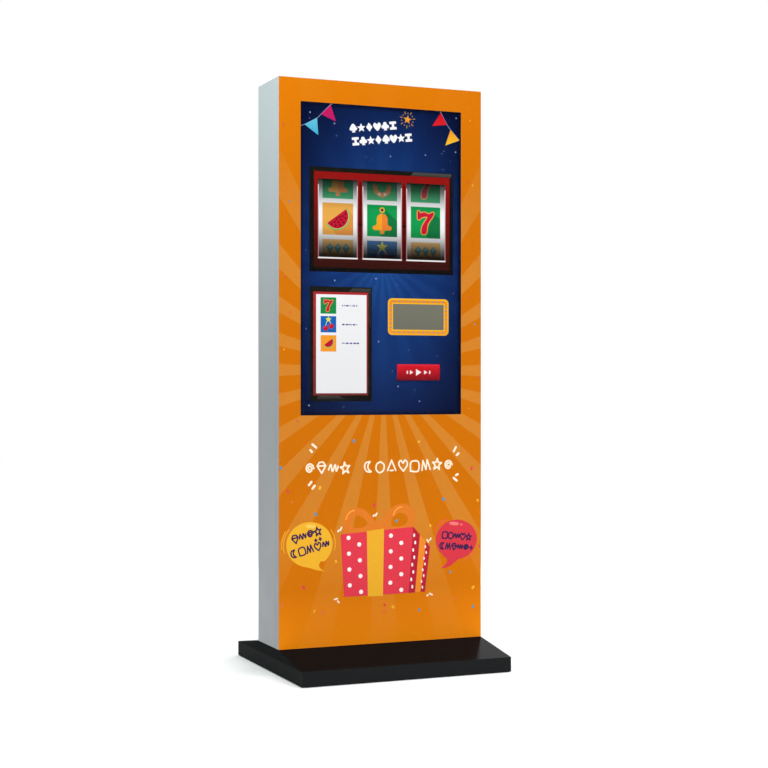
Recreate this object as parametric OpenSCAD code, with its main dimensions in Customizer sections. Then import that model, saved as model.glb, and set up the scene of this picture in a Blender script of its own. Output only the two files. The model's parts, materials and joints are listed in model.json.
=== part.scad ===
// Slot machine kiosk: a slim floor-standing steel column on a black wedge base, with a portrait
// touch display behind a window in its printed front and a service door at the back.
// Frame: the origin is the centre of the footprint on the floor, +Z is up, the player stands at -Y.
// Units are millimetres.

/* [Column] */
// Width of the column and of the base
column_w = 672; // [664:1:690]
// Height of the column above the base
column_h = 1715; // [1705:1:1760]
// Depth of the column, from the printed front to the rear edges of its side walls
column_d = 194; // [190:1:200]
// Thickness of the folded sheet steel
sheet = 1.5; // [1.2:0.1:1.8]
// Depth of the front tray's side returns
tray_d = 30; // [26:1:32]

/* [Base] */
// Depth of the base, front to back
base_d = 608; // [580:1:640]
// Height of the base's low front and rear edges
base_edge_z = 46; // [42:1:50]
// Height of the base's flat top, where the column stands
base_top_z = 78; // [76:1:84]
// Thickness of the ballast plate
ballast_t = 10; // [8:1:12]
// Thickness of the base cover
cover_t = 2; // [1.5:0.5:2.5]

/* [Display] */
// Width of the window in the front
window_w = 533; // [532:1:536]
// Height of the window in the front
window_h = 945; // [944:1:950]
// Distance from the column's top down to the window
window_top = 70; // [66:1:74]
// Thickness of the touch glass
glass_t = 3; // [2:0.5:3]

/* [Service door] */
// Thickness of the rear door
door_t = 1.5; // [1.2:0.1:2]
// Radius of the hinge barrels
barrel_r = 4.5; // [4.2:0.1:4.6]
// Length of each hinge
hinge_l = 80; // [60:2:100]
// Heights of the three hinges
hinge_z = [420, 1035, 1650];
// Heights of the two cam locks
lock_z = [560, 1510];

/* [Hidden] */
$fn = 48;

// Column planes
half_w = column_w / 2;
front_y = -column_d / 2;
rear_y = column_d / 2;
col_z0 = base_top_z;
col_z1 = base_top_z + column_h;
wall_x = half_w - sheet;              // inner face of the side walls
eps = 1;                              // overlap that keeps cuts clean
fit_gap = 0.05;                       // radial clearance of a running fit

// Front tray
wrap_t = 0.3;
face_y = front_y + wrap_t;            // outer face of the steel front
face_back_y = face_y + sheet;
tray_y1 = front_y + tray_d + 0.5;     // rear edge of the tray's returns
seam = 1;                             // shadow gap between tray and housing
lip_w = 16;
flange_back_y = tray_y1 + 2;          // rear face of the housing's front flange
screw_r = 2;
screw_hole_r = 2.1;
tray_screw_z = [190, 600, 1010, 1420, 1700];

// Window and glass
win_cz = col_z1 - window_top - window_h / 2;
gasket_t = 1;
glass_y0 = face_back_y + gasket_t;
glass_y1 = glass_y0 + glass_t;
glass_w = 560;
glass_h = 972;
clip_t = 1.5;
clip_pitch_z = 220;
clip_pitch_x = 180;

// Display module
bezel_y0 = glass_y1 + clip_t + 0.3;
bezel_t = 1;
bezel_w = 559;
bezel_h = 971;
cell_y0 = bezel_y0 + bezel_t;
cell_t = 2;
cell_w = 541;
cell_h = 953;
chassis_y0 = cell_y0 + cell_t;
chassis_d = 24.4;
chassis_y1 = chassis_y0 + chassis_d;
chassis_w = bezel_w - 2.6;
chassis_h = bezel_h - 2.6;
chassis_t = 1.2;
vesa = 400;
bar_t = 3;
bar_y1 = chassis_y1 + bar_t;
bar_h = 40;
bar_leg = 22;
m6_r = 3;
board_w = 280;
board_z0 = win_cz - 150;
board_z1 = win_cz + 25;
board_y1 = chassis_y1 + 24;
cable_x = [-60, 90];                  // where the two display cables pass the lower crossbar

// Base
plate_z = 6;
plate_top = plate_z + ballast_t;
skirt_z = 2;
plate_gap = 0.5;
riser_x = 220;
riser_w = 60;
riser_l = 176;
riser_t = 3;
bolt_y = 45;
m10_r = 5;
m10_hole_r = 5.5;
hex10_r = 9.8;
foot_x = 280;
foot_y = 260;
foot_xy = [[-foot_x, -foot_y], [foot_x, -foot_y], [-foot_x, foot_y], [foot_x, foot_y]];
foot_nut_h = 8;
anchor_x = 150;
anchor_y = 45;
anchor_r = 6;
hatch_hw = 172;                       // half sizes of the opening in the floor, over the anchors
hatch_hd = 62;

// Rear flange, door and lower panel
flange_in = 36;
door_open_z0 = 312;
door_open_z1 = col_z1 - flange_in;
low_open_z0 = col_z0 + flange_in;
low_open_z1 = 280;
door_y0 = rear_y + 1.5;
door_y1 = door_y0 + door_t;
door_x0 = -322;
door_x1 = 304.5;
door_z0 = 300;
door_z1 = col_z1 - 23;
hinge_x = 310.5;
hinge_y = rear_y + 4.8;
pin_r = 2;
lock_x = -285;
plug_r = 6;
panel_y1 = rear_y + sheet;
panel_z0 = 100;
panel_z1 = 296;
panel_hw = 318;
plate_x0 = -104;                      // connector plate over the rear panel's window
plate_x1 = 80;
plate_hh = 56;
plate_lap = 16;
plate_screw_in = 7;
plate_screw_x = [plate_x0 + plate_screw_in, plate_x1 - plate_screw_in];
plate_y1 = panel_y1 + sheet;

// Service parts
comp_z0 = 330;
comp_z1 = 700;
comp_y1 = sheet;                      // rear face of the component plate
pc = [-250, 500, 180, 190];           // x, z, width, height
pc_case_d = 28;
fin_h = 12;
psu = [60, 560, 200, 110];
psu_d = 30;
din_z = 440;
din_x = [40, 300];
din_d = 7.5;
breaker_x = [70, 106];
breaker_d = 52;
lever_y = comp_y1 + din_d + breaker_d;
fan_x = 120;
fan_z = col_z1 - 101;
fan_size = 80;
fan_d = 25;
fan_y0 = 61.5;
fan_y1 = fan_y0 + fan_d;
fan_hole_r = 38;
blade_count = 7;
speaker_x = 210;
speaker_z = 190;
speaker_r = 36;
inlet_x = -60;
inlet_z = 190;
socket_x = 40;
socket_z = 190;
socket_hw = 11.6;                     // half width and height of the network socket's body
socket_d = 25.5;
inlet_d = 39.5;
mouth_d = 14;
stud_r = 2.5;

// Cable routes: points along each cable, and the cable's radius
mains = [[-60, 60.5, 205], [-60, 50, 205], [-48, 38, 240], [-10, 34, 290], [50, 34, 330],
         [82, 34, 360], [88, 34, 385], [88, 34, 399]];
breaker_link = [[88, 34, 481], [88, 34, 495], [105, 32, 502], [125, 28, 492], [128, 25, 480], [128, 25, 466]];
supply_feed = [[169, 25, 466], [169, 25, 486], [190, 26, 510],
    [240, 20, 530], [250, 20, 545], [250, 20, 560]];
pc_power = [[60, 18, 575], [48, 18, 575], [20, 22, 560], [-10, 24, 550], [-40, 20, 548],
            [-58, 15, 550], [-70, 15, 550]];
display_power = [[144, 25, 466], [144, 25, 486], [156, 32, 512], [200, 36, 538], [290, 34, 560],
                 [300, 34, 640], [300, 10, 730], [280, -20, 800], [200, -46, 900], [100, -50, 980],
                 [90, -50, 1020], [90, -50, 1070], [90, -50, 1104]];
fan_power = [[240, 16, 670], [240, 16, 700], [262, 20, 760], [300, 30, 860], [312, 42, 930],
             [314, 44, 960], [314, 44, 1000], [314, 44, 1200], [314, 44, 1400], [314, 44, 1440],
             [308, 44, 1560], [280, 48, 1640], [220, 48, 1690], [182, 50, 1718], [172, 60, 1722],
             [172, 70, 1720], [168, 74, 1716], [160, 74, 1716]];
fan_link = [[80, 74, 1716], [70, 74, 1716], [40, 76, 1700], [0, 76, 1696], [-40, 76, 1700],
            [-70, 74, 1716], [-80, 74, 1716]];
video = [[-200, 16, 502], [-200, 16, 470], [-230, 18, 440], [-290, 22, 460], [-308, 22, 520],
         [-308, 22, 560], [-308, 22, 600], [-308, 20, 650], [-300, 0, 740], [-270, -30, 830],
         [-160, -48, 930], [-70, -50, 1000], [-60, -50, 1030], [-60, -50, 1070], [-60, -50, 1104]];
touch_usb = [[-120, 16, 502], [-120, 16, 476], [-90, 18, 452], [-40, 18, 460], [-16, 16, 520],
             [0, 12, 570], [0, 10, 594]];
touch_tail = [[20, 10, 652], [20, 10, 690], [24, 6, 715], [40, -20, 735], [60, -60, 740],
              [60, -86, 746], [60, -92.7, 756], [60, -92.7, 764.5]];
network = [[40, 74.5, 190], [40, 66, 190], [36, 58, 205], [10, 54, 270], [-60, 40, 340],
           [-130, 24, 400], [-156, 16, 450], [-156, 16, 470], [-156, 16, 502]];
clip_z = [1000, 1200, 1400];
video_clip_z = 580;

// ---------- helpers ----------
module block(lo, hi) translate(lo) cube(hi - lo);

// A flat ring in the XZ plane: outer and inner width and height about x = 0, z = cz.
module frame_ring(y0, y1, ow, oh, iw, ih, cz) difference() {
    block([-ow / 2, y0, cz - oh / 2], [ow / 2, y1, cz + oh / 2]);
    block([-iw / 2, y0 - eps, cz - ih / 2], [iw / 2, y1 + eps, cz + ih / 2]);
}

// A rod along +Y from y0 to y1.
module y_rod(x, z, y0, y1, r) translate([x, y0, z]) rotate([-90, 0, 0]) cylinder(h = y1 - y0, r = r);

// A hexagonal rod along +Y from y0 to y1.
module y_hex(x, z, y0, y1, r) translate([x, y0, z]) rotate([-90, 0, 0]) cylinder(h = y1 - y0, r = r, $fn = 6);

// A rod along +X from x0 to x1.
module x_rod(y, z, x0, x1, r) translate([x0, y, z]) rotate([0, 90, 0]) cylinder(h = x1 - x0, r = r);

// Horizontal vent slots, rows x columns, cut along Y.
module vent_slots(xs, z0, rows, pitch, w, h, y0, y1)
    for (x = xs) for (i = [0:rows - 1]) {
        z = z0 + i * pitch;
        block([x - w / 2 + h / 2, y0, z - h / 2], [x + w / 2 - h / 2, y1, z + h / 2]);
        for (s = [-1, 1]) y_rod(x + s * (w - h) / 2, z, y0, y1, h / 2, $fn = 24);
    }

function unit(v) = v / norm(v);

// Catmull-Rom points between the route's own points.
function route_point(p, i, t) =
    let (a = p[max(i - 1, 0)], b = p[i], c = p[i + 1], d = p[min(i + 2, len(p) - 1)])
    0.5 * (2 * b + (c - a) * t + (2 * a - 5 * b + 4 * c - d) * t * t + (3 * b - 3 * c + d - a) * t * t * t);
function smooth_route(p, n) = concat(
    [for (i = [0:len(p) - 2]) for (k = [0:n - 1]) route_point(p, i, k / n)], [p[len(p) - 1]]);
function last(p) = len(p) - 1;
function tangent(p, route, i) =
    i == 0 ? unit(route[1] - route[0]) :
    i == last(p) ? unit(route[last(route)] - route[last(route) - 1]) : unit(p[i + 1] - p[i - 1]);
function across(n, t) = unit(n - (n * t) * t);

// A round cable swept along a route, as one closed polyhedron.
module cable(route, r, sides = 8) {
    p = smooth_route(route, 3);
    n = len(p);
    side_dirs = [for (i = 0, d = across([1, 0.2, 0.1], tangent(p, route, 0)); i < n;
                      i = i + 1, d = across(d, tangent(p, route, min(i, n - 1)))) d];
    rings = [for (i = [0:n - 1]) for (k = [0:sides - 1])
        let (a = 360 * k / sides, u = side_dirs[i], v = cross(tangent(p, route, i), u))
        p[i] + r * (cos(a) * u + sin(a) * v)];
    walls = [for (i = [0:n - 2]) for (k = [0:sides - 1])
        let (a = i * sides + k, b = i * sides + (k + 1) % sides)
        each [[a, a + sides, b + sides], [a, b + sides, b]]];
    caps = [[for (k = [0:sides - 1]) k], [for (k = [0:sides - 1]) n * sides - 1 - k]];
    polyhedron(points = rings, faces = concat(walls, caps));
}

// ---------- base ----------
module base_plate() color("dimgray") difference() {
    union() {
        block([-half_w + cover_t + plate_gap, -base_d / 2 + cover_t + plate_gap, plate_z],
              [half_w - cover_t - plate_gap, base_d / 2 - cover_t - plate_gap, plate_top]);
        for (p = foot_xy) translate([p.x, p.y, plate_top]) cylinder(h = foot_nut_h, r = hex10_r, $fn = 6);
    }
    for (p = foot_xy)
        translate([p.x, p.y, plate_z - eps])
            cylinder(h = ballast_t + foot_nut_h + 2 * eps, r = m10_r + fit_gap);
    for (sx = [-1, 1]) for (sy = [-1, 1])
        translate([sx * anchor_x, sy * anchor_y, plate_z - eps])
            cylinder(h = ballast_t + 2 * eps, r = anchor_r);
}

// The cover's cross-section, drawn inset by t from the outer skin.
module cover_profile(t, z0) {
    slope = (base_top_z - base_edge_z) / (base_d / 2 - column_d / 2);
    drop = t * sqrt(1 + slope * slope);
    y_edge = base_d / 2 - t;
    z_edge = base_edge_z + t * slope - drop;
    z_top = base_top_z - t;
    y_top = base_d / 2 - (z_top + drop - base_edge_z) / slope;
    polygon([[-y_edge, z0], [-y_edge, z_edge], [-y_top, z_top],
             [y_top, z_top], [y_edge, z_edge], [y_edge, z0]]);
}

module base_cover() color("#141416") difference() {
    translate([-half_w, 0, 0]) rotate([90, 0, 90]) linear_extrude(column_w) cover_profile(0, skirt_z);
    translate([-half_w + cover_t, 0, 0]) rotate([90, 0, 90])
        linear_extrude(column_w - 2 * cover_t) cover_profile(cover_t, skirt_z - eps);
    floor_holes(base_top_z - 2 * cover_t, 3 * cover_t);
}

// The column bolts' clearance holes and the hand opening over the anchors.
module floor_holes(z0, h) {
    for (sx = [-1, 1]) for (sy = [-1, 1])
        translate([sx * riser_x, sy * bolt_y, z0]) cylinder(h = h, r = m10_hole_r);
    block([-hatch_hw, -hatch_hd, z0], [hatch_hw, hatch_hd, z0 + h]);
}

module base_risers() color("gray") for (s = [-1, 1]) difference() {
    block([s * riser_x - riser_w / 2, -riser_l / 2, plate_top],
          [s * riser_x + riser_w / 2, riser_l / 2, base_top_z - cover_t]);
    block([s * riser_x - riser_w / 2 + riser_t, -riser_l / 2 - eps, plate_top + riser_t],
          [s * riser_x + riser_w / 2 - riser_t, riser_l / 2 + eps, base_top_z - cover_t - riser_t]);
    for (sy = [-1, 1])
        translate([s * riser_x, sy * bolt_y, base_top_z - 10]) cylinder(h = 20, r = m10_hole_r);
}

module column_bolts() color("silver") for (sx = [-1, 1]) for (sy = [-1, 1])
    translate([sx * riser_x, sy * bolt_y, 0]) {
        floor_z = col_z0 + sheet;
        nut_z = base_top_z - cover_t - riser_t;
        translate([0, 0, floor_z]) cylinder(h = 2, r = 10.5);
        translate([0, 0, floor_z + 2]) cylinder(h = 6.4, r = hex10_r, $fn = 6);
        translate([0, 0, nut_z - 14]) cylinder(h = floor_z + 3 - nut_z + 14, r = m10_r);
        translate([0, 0, nut_z - 8]) cylinder(h = 8, r = hex10_r, $fn = 6);
    }

module foot_pad(p) color("black") translate([p.x, p.y, 0]) difference() {
    union() {
        cylinder(h = 3.5, r = 22);
        translate([0, 0, 3.5]) cylinder(h = 2.2, r1 = 13, r2 = 10);
    }
    translate([0, 0, 2]) cylinder(h = 6, r = m10_r + fit_gap);
}

module foot_stud(p) color("silver") translate([p.x, p.y, 0]) difference() {
    translate([0, 0, 2.2]) cylinder(h = 38.8, r = m10_r);
    block([-m10_r - eps, -0.8, 38], [m10_r + eps, 0.8, 43]);
}

// ---------- column ----------
module housing_shell() color("#b4bcbf") difference() {
    union() {
        difference() {
            block([-half_w, tray_y1 + seam, col_z0], [half_w, rear_y, col_z1]);
            block([-wall_x, tray_y1 - eps, col_z0 + sheet], [wall_x, rear_y - sheet, col_z1 - sheet]);
        }
        frame_ring(tray_y1, flange_back_y, 2 * wall_x + 0.6, column_h - 2 * sheet + 0.6,
                   2 * (wall_x - lip_w), column_h - 2 * (sheet + lip_w), (col_z0 + col_z1) / 2);
    }
    block([-half_w + flange_in, rear_y - 2 * sheet, door_open_z0],
          [half_w - flange_in, rear_y + eps, door_open_z1]);
    block([-half_w + flange_in, rear_y - 2 * sheet, low_open_z0],
          [half_w - flange_in, rear_y + eps, low_open_z1]);
    floor_holes(col_z0 - eps, sheet + 2 * eps);
    tray_screw_holes();
    panel_screw_holes();
}

module tray_screw_holes() for (s = [-1, 1]) for (z = tray_screw_z)
    y_rod(s * (wall_x - lip_w / 2), z, tray_y1 - 2 * sheet, flange_back_y + eps, screw_hole_r);

module panel_screw_holes() for (x = [-308, 0, 308]) for (z = [panel_z0 + 7, panel_z1 - 8])
    y_rod(x, z, rear_y - 2 * sheet, panel_y1 + eps, screw_hole_r);

module front_panel() color("#b4bcbf") difference() {
    block([-half_w, face_y, col_z0], [half_w, tray_y1, col_z1]);
    block([-wall_x, face_back_y, col_z0 + sheet], [wall_x, tray_y1 - sheet, col_z1 - sheet]);
    block([-wall_x + lip_w, tray_y1 - 2 * sheet, col_z0 + sheet + lip_w],
          [wall_x - lip_w, tray_y1 + eps, col_z1 - sheet - lip_w]);
    window_cut(face_y - eps, face_back_y + eps);
    tray_screw_holes();
}

module window_cut(y0, y1)
    block([-window_w / 2, y0, win_cz - window_h / 2], [window_w / 2, y1, win_cz + window_h / 2]);

module front_wrap() color("#e07c10") difference() {
    block([-half_w + 0.4, front_y, col_z0 + 0.4], [half_w - 0.4, face_y, col_z1 - 0.4]);
    window_cut(front_y - eps, face_y + eps);
}

module glass_gasket() color("#101010")
    frame_ring(face_back_y, glass_y0, glass_w - 4, glass_h - 4, window_w + 3, window_h + 3, win_cz);

module touch_glass() color("#8090a0", 0.35)
    block([-glass_w / 2, glass_y0, win_cz - glass_h / 2], [glass_w / 2, glass_y1, win_cz + glass_h / 2]);

// One spring clip: a foot on the back of the front panel and a finger over the glass edge.
module glass_clip() {
    block([1, face_back_y - glass_y1, -11], [15, clip_t, 11]);
    block([-4, 0, -11], [15, clip_t, 11]);
    translate([9, 0, 0]) y_rod(0, 0, clip_t - 0.5, clip_t + 2.5, 4);
}

module glass_clips() color("silver") translate([0, glass_y1, win_cz]) {
    for (s = [0, 180]) for (k = [-1.5, -0.5, 0.5, 1.5])
        rotate([0, s, 0]) translate([glass_w / 2, 0, k * clip_pitch_z]) glass_clip();
    for (s = [90, 270]) for (k = [-1, 0, 1])
        rotate([0, s, 0]) translate([glass_h / 2, 0, k * clip_pitch_x]) glass_clip();
}

// Screws of the tray, the lower rear panel and the fans: a pan head and a plain shank.
module pan_screw(x, z, y_seat, y_tip, head = 2.4) {
    dir = sign(y_tip - y_seat);
    y_rod(x, z, min(y_seat, y_tip), max(y_seat, y_tip), screw_r, $fn = 24);
    y_rod(x, z, min(y_seat, y_seat - dir * head), max(y_seat, y_seat - dir * head), 2 * screw_r, $fn = 24);
}

module panel_screws() color("silver") {
    for (s = [-1, 1]) for (z = tray_screw_z)
        pan_screw(s * (wall_x - lip_w / 2), z, flange_back_y, tray_y1 - 5);
    for (x = [-308, 0, 308]) for (z = [panel_z0 + 7, panel_z1 - 8])
        pan_screw(x, z, panel_y1, rear_y - 8);
    for (x = plate_screw_x) for (s = [-1, 1])
        pan_screw(x, inlet_z + s * (plate_hh - plate_screw_in), plate_y1, rear_y - 2);
    for (s = [-1, 1]) for (dx = [-1, 1]) for (dz = [-1, 1])
        pan_screw(s * fan_x + dx * fan_size * 0.4475, fan_z + dz * fan_size * 0.4475, fan_y1, fan_y0 - 6);
}

// ---------- display ----------
module display_bezel() color("#18181a") difference() {
    block([-bezel_w / 2, bezel_y0, win_cz - bezel_h / 2],
          [bezel_w / 2, chassis_y0 + 14, win_cz + bezel_h / 2]);
    block([-bezel_w / 2 + bezel_t, cell_y0, win_cz - bezel_h / 2 + bezel_t],
          [bezel_w / 2 - bezel_t, chassis_y0 + 14 + eps, win_cz + bezel_h / 2 - bezel_t]);
    block([-window_w / 2, bezel_y0 - eps, win_cz - window_h / 2],
          [window_w / 2, cell_y0 + eps, win_cz + window_h / 2]);
}

module display_cell() color("#16357a")
    block([-cell_w / 2, cell_y0, win_cz - cell_h / 2], [cell_w / 2, chassis_y0, win_cz + cell_h / 2]);

module backlight() color("#e8eef4") {
    block([-270, chassis_y0, win_cz - 476], [270, chassis_y0 + 4, win_cz + 476]);
    for (s = [-1, 1]) translate([s * (chassis_w / 2 - chassis_t - 1.5), 0, 0])
        block([-1.5, chassis_y0 + 0.4, win_cz - 470], [1.5, chassis_y0 + 7, win_cz + 470]);
}

module display_chassis() color("#8c9094") difference() {
    union() {
        difference() {
            block([-chassis_w / 2, chassis_y0, win_cz - chassis_h / 2],
                  [chassis_w / 2, chassis_y1, win_cz + chassis_h / 2]);
            block([-chassis_w / 2 + chassis_t, chassis_y0 - eps, win_cz - chassis_h / 2 + chassis_t],
                  [chassis_w / 2 - chassis_t, chassis_y1 - chassis_t, win_cz + chassis_h / 2 - chassis_t]);
        }
        for (sx = [-1, 1]) for (sz = [-1, 1])
            y_rod(sx * vesa / 2, win_cz + sz * vesa / 2, chassis_y1 - 11, chassis_y1 - 0.5, 7);
    }
    for (sx = [-1, 1]) for (sz = [-1, 1])
        y_rod(sx * vesa / 2, win_cz + sz * vesa / 2, chassis_y1 - 10, chassis_y1 + eps, m6_r + fit_gap);
}

module display_board_cover() color("#a4a8ac") difference() {
    block([-board_w / 2, chassis_y1, board_z0], [board_w / 2, board_y1, board_z1]);
    block([-board_w / 2 + 1, chassis_y1 - eps, board_z0 + 1], [board_w / 2 - 1, board_y1 - 1, board_z1 - 1]);
    vent_slots([-78, 0, 78], board_z0 + 50, 8, 12, 60, 4, board_y1 - 2, board_y1 + eps);
    for (x = cable_x) block([x - 9, -56, board_z0 - eps], [x + 9, -44, board_z0 + 2]);
}

module display_crossbars() color("#6c7074") for (sz = [-1, 1]) translate([0, 0, win_cz + sz * vesa / 2])
    difference() {
        union() {
            block([-wall_x, chassis_y1, -bar_h / 2], [wall_x, bar_y1, bar_h / 2]);
            block([-wall_x, bar_y1 - 0.5, -bar_h / 2], [wall_x, bar_y1 + bar_leg, -bar_h / 2 + bar_t]);
            for (s = [-1, 1]) translate([s * (wall_x - bar_t / 2), 0, 0])
                block([-bar_t / 2, bar_y1 - 0.5, -bar_h / 2], [bar_t / 2, bar_y1 + bar_leg, bar_h / 2]);
        }
        for (s = [-1, 1]) {
            y_rod(s * vesa / 2, 0, chassis_y1 - eps, bar_y1 + eps, m6_r + 0.2);
            x_rod(bar_y1 + bar_leg / 2, 4, s * wall_x - 6, s * wall_x + 6, stud_r + 0.2);
        }
        for (x = cable_x) block([x - 12, bar_y1 + 2, -bar_h / 2 - eps],
                                [x + 12, bar_y1 + bar_leg + eps, -bar_h / 2 + bar_t + eps]);
    }

module display_screws() color("silver") for (sx = [-1, 1]) for (sz = [-1, 1]) {
    x = sx * vesa / 2;
    z = win_cz + sz * vesa / 2;
    y_rod(x, z, chassis_y1 - 9, bar_y1 + 1, m6_r);
    difference() {
        y_rod(x, z, bar_y1, bar_y1 + 5, 5);
        y_hex(x, z, bar_y1 + 2, bar_y1 + 6, 2.9);
    }
}

// ---------- service parts ----------
module component_plate() color("#c0c4c8") difference() {
    union() {
        block([-wall_x, 0, comp_z0], [wall_x, comp_y1, comp_z1]);
        for (s = [-1, 1]) translate([s * (wall_x - sheet / 2), 0, 0])
            block([-sheet / 2, 0, comp_z0], [sheet / 2, 30, comp_z1]);
    }
    for (s = [-1, 1]) for (z = [comp_z0 + 60, comp_z1 - 60])
        x_rod(16, z, s * wall_x - 6, s * wall_x + 6, stud_r + 0.2);
}

// A weld stud on a side wall with its nut, holding a tab that is t thick.
module stud_nut(s, y, z, t) {
    inner = wall_x - t;
    x_rod(y, z, min(s * wall_x, s * (inner - 7)), max(s * wall_x, s * (inner - 7)), stud_r);
    translate([min(s * inner, s * (inner - 4)), y, z]) rotate([0, 90, 0]) cylinder(h = 4, r = 4.6, $fn = 6);
}

module stud_nuts() color("silver") for (s = [-1, 1]) {
    for (sz = [-1, 1]) stud_nut(s, bar_y1 + bar_leg / 2, win_cz + sz * vesa / 2 + 4, bar_t);
    for (z = [comp_z0 + 60, comp_z1 - 60]) stud_nut(s, 16, z, sheet);
    for (z = [fan_z - 30, fan_z + 30]) stud_nut(s, fan_y0 - 14, z, sheet);
}

// The pan-head screws, the display's screws, and the weld studs with their nuts, as separate solids.
module cabinet_fasteners() {
    panel_screws();
    display_screws();
    stud_nuts();
}

module mini_pc_case() color("#202224") difference() {
    block([pc[0], comp_y1, pc[1]], [pc[0] + pc[2], comp_y1 + pc_case_d, pc[1] + pc[3]]);
    block([pc[0] + 2, comp_y1 + 2, pc[1] + 2],
          [pc[0] + pc[2] - 2, comp_y1 + pc_case_d + eps, pc[1] + pc[3] - 2]);
    for (x = [-232, -156, -120]) block([x - 8, 10, pc[1] - eps], [x + 8, 22, pc[1] + 3]);
    block([-209, 11, pc[1] - eps], [-191, 21, pc[1] + 3]);
    translate([pc[0] + 30, 16, pc[1] + pc[3] - 3]) cylinder(h = 6, r = 5.2);
}

module mini_pc_heatsink() color("#303336") translate([pc[0], comp_y1 + pc_case_d, pc[1]]) {
    cube([pc[2], 3, pc[3]]);
    for (i = [0:14]) translate([4 + i * (pc[2] - 10) / 14, 2.5, 0]) cube([2.4, fin_h + 0.5, pc[3]]);
}

module pc_power_button() color("#c8ccd0") translate([pc[0] + 30, 16, pc[1] + pc[3]]) {
    translate([0, 0, -4]) cylinder(h = 5.8, r = 5);
    translate([0, 0, -4.3]) cylinder(h = 2, r = 6.5);
}

module power_supply() color("#c4c8cc") difference() {
    block([psu[0], comp_y1, psu[1]], [psu[0] + psu[2], comp_y1 + psu_d, psu[1] + psu[3]]);
    block([psu[0] + 1.2, comp_y1 + 1.2, psu[1] + 1.2],
          [psu[0] + psu[2] - 22, comp_y1 + psu_d - 1.2, psu[1] + psu[3] - 1.2]);
    block([psu[0] + psu[2] - 20, comp_y1 + 12, psu[1] + 6],
          [psu[0] + psu[2] + eps, comp_y1 + psu_d + eps, psu[1] + psu[3] - 6]);
    for (ix = [0:8]) for (iz = [0:4])
        y_rod(psu[0] + 18 + ix * 18, psu[1] + 19 + iz * 18,
              comp_y1 + psu_d - 2, comp_y1 + psu_d + eps, 5, $fn = 24);
}

module din_rail() color("silver") translate([din_x[0], comp_y1, din_z]) rotate([90, 0, 90])
    linear_extrude(din_x[1] - din_x[0])
        polygon([[0, -12.5], [6.5, -12.5], [6.5, -17.5], [7.5, -17.5], [7.5, -11.5], [1, -11.5],
                 [1, 11.5], [7.5, 11.5], [7.5, 17.5], [6.5, 17.5], [6.5, 12.5], [0, 12.5]]);

// A two-module breaker: a stepped body with a slot and a bore for its lever.
module circuit_breaker() color("#e6e6e2") {
    y0 = comp_y1 + din_d;
    x_mid = (breaker_x[0] + breaker_x[1]) / 2;
    difference() {
        union() {
            block([breaker_x[0], y0, din_z - 41], [breaker_x[1], y0 + breaker_d - 8, din_z + 41]);
            block([breaker_x[0], y0 + breaker_d - 9, din_z - 23],
                  [breaker_x[1], y0 + breaker_d + 6, din_z + 23]);
        }
        block([x_mid - 7, lever_y - 8, din_z - 14], [x_mid + 7, lever_y + 10, din_z + 14]);
        x_rod(lever_y, din_z, breaker_x[0] + 4, breaker_x[1] - 4, 1.5 + fit_gap);
        for (x = [x_mid - 9, x_mid + 9]) for (s = [-1, 1])
            y_rod(x, din_z + s * 32, y0 + breaker_d - 14, y0 + breaker_d, 3.6, $fn = 24);
        for (x = [x_mid - 9, x_mid + 9]) for (s = [-1, 1])
            block([x - 4, y0 + 20, din_z + s * 41 - 5], [x + 4, y0 + 30, din_z + s * 41 + 5]);
    }
}

// The lever points up when it is on, and turns down about its own pin.
module breaker_lever() color("#2c5fb4") {
    x_mid = (breaker_x[0] + breaker_x[1]) / 2;
    x_rod(lever_y, din_z, x_mid - 6.4, x_mid + 6.4, 6.5);
    x_rod(lever_y, din_z, x_mid - 12, x_mid + 12, 1.5);
    translate([x_mid, lever_y, din_z]) rotate([35, 0, 0]) block([-6.4, 0, -2.4], [6.4, 17, 2.4]);
}

module terminal_blocks() color("#9aa0a4") for (i = [0:5]) translate([124 + i * 8.2, comp_y1 + din_d, din_z])
    difference() {
        union() {
            block([0, 0, -26], [8, 28, 26]);
            block([0, 27, -14], [8, 38, 14]);
        }
        for (s = [-1, 1]) y_rod(4, s * 20, 18, 29, 2.6, $fn = 24);
        for (s = [-1, 1]) block([1.6, 12, s * 26 - 8], [6.4, 20, s * 26 + 8]);
    }

module touch_controller() color("#242628") difference() {
    block([-34, comp_y1, 590], [34, comp_y1 + 16, 652]);
    block([-10, comp_y1 + 4, 589], [10, comp_y1 + 13, 598]);
}

module fan_bracket() color("#b4bcbf") difference() {
    union() {
        block([-wall_x, fan_y0 - sheet, fan_z - 50], [wall_x, fan_y0, fan_z + 50]);
        for (s = [-1, 1]) translate([s * (wall_x - sheet / 2), 0, 0])
            block([-sheet / 2, fan_y0 - 28, fan_z - 50], [sheet / 2, fan_y0, fan_z + 50]);
    }
    for (s = [-1, 1]) {
        y_rod(s * fan_x, fan_z, fan_y0 - 2 * sheet, fan_y0 + eps, fan_hole_r);
        for (dx = [-1, 1]) for (dz = [-1, 1])
            y_rod(s * fan_x + dx * fan_size * 0.4475, fan_z + dz * fan_size * 0.4475,
                  fan_y0 - 2 * sheet, fan_y0 + eps, screw_hole_r);
        for (dz = [-30, 30]) x_rod(fan_y0 - 14, fan_z + dz, s * wall_x - 6, s * wall_x + 6, stud_r + 0.2);
        block([s * 172 - 8, fan_y0 - 2 * sheet, fan_z + 22], [s * 172 + 8, fan_y0 + eps, fan_z + 38]);
    }
}

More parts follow.
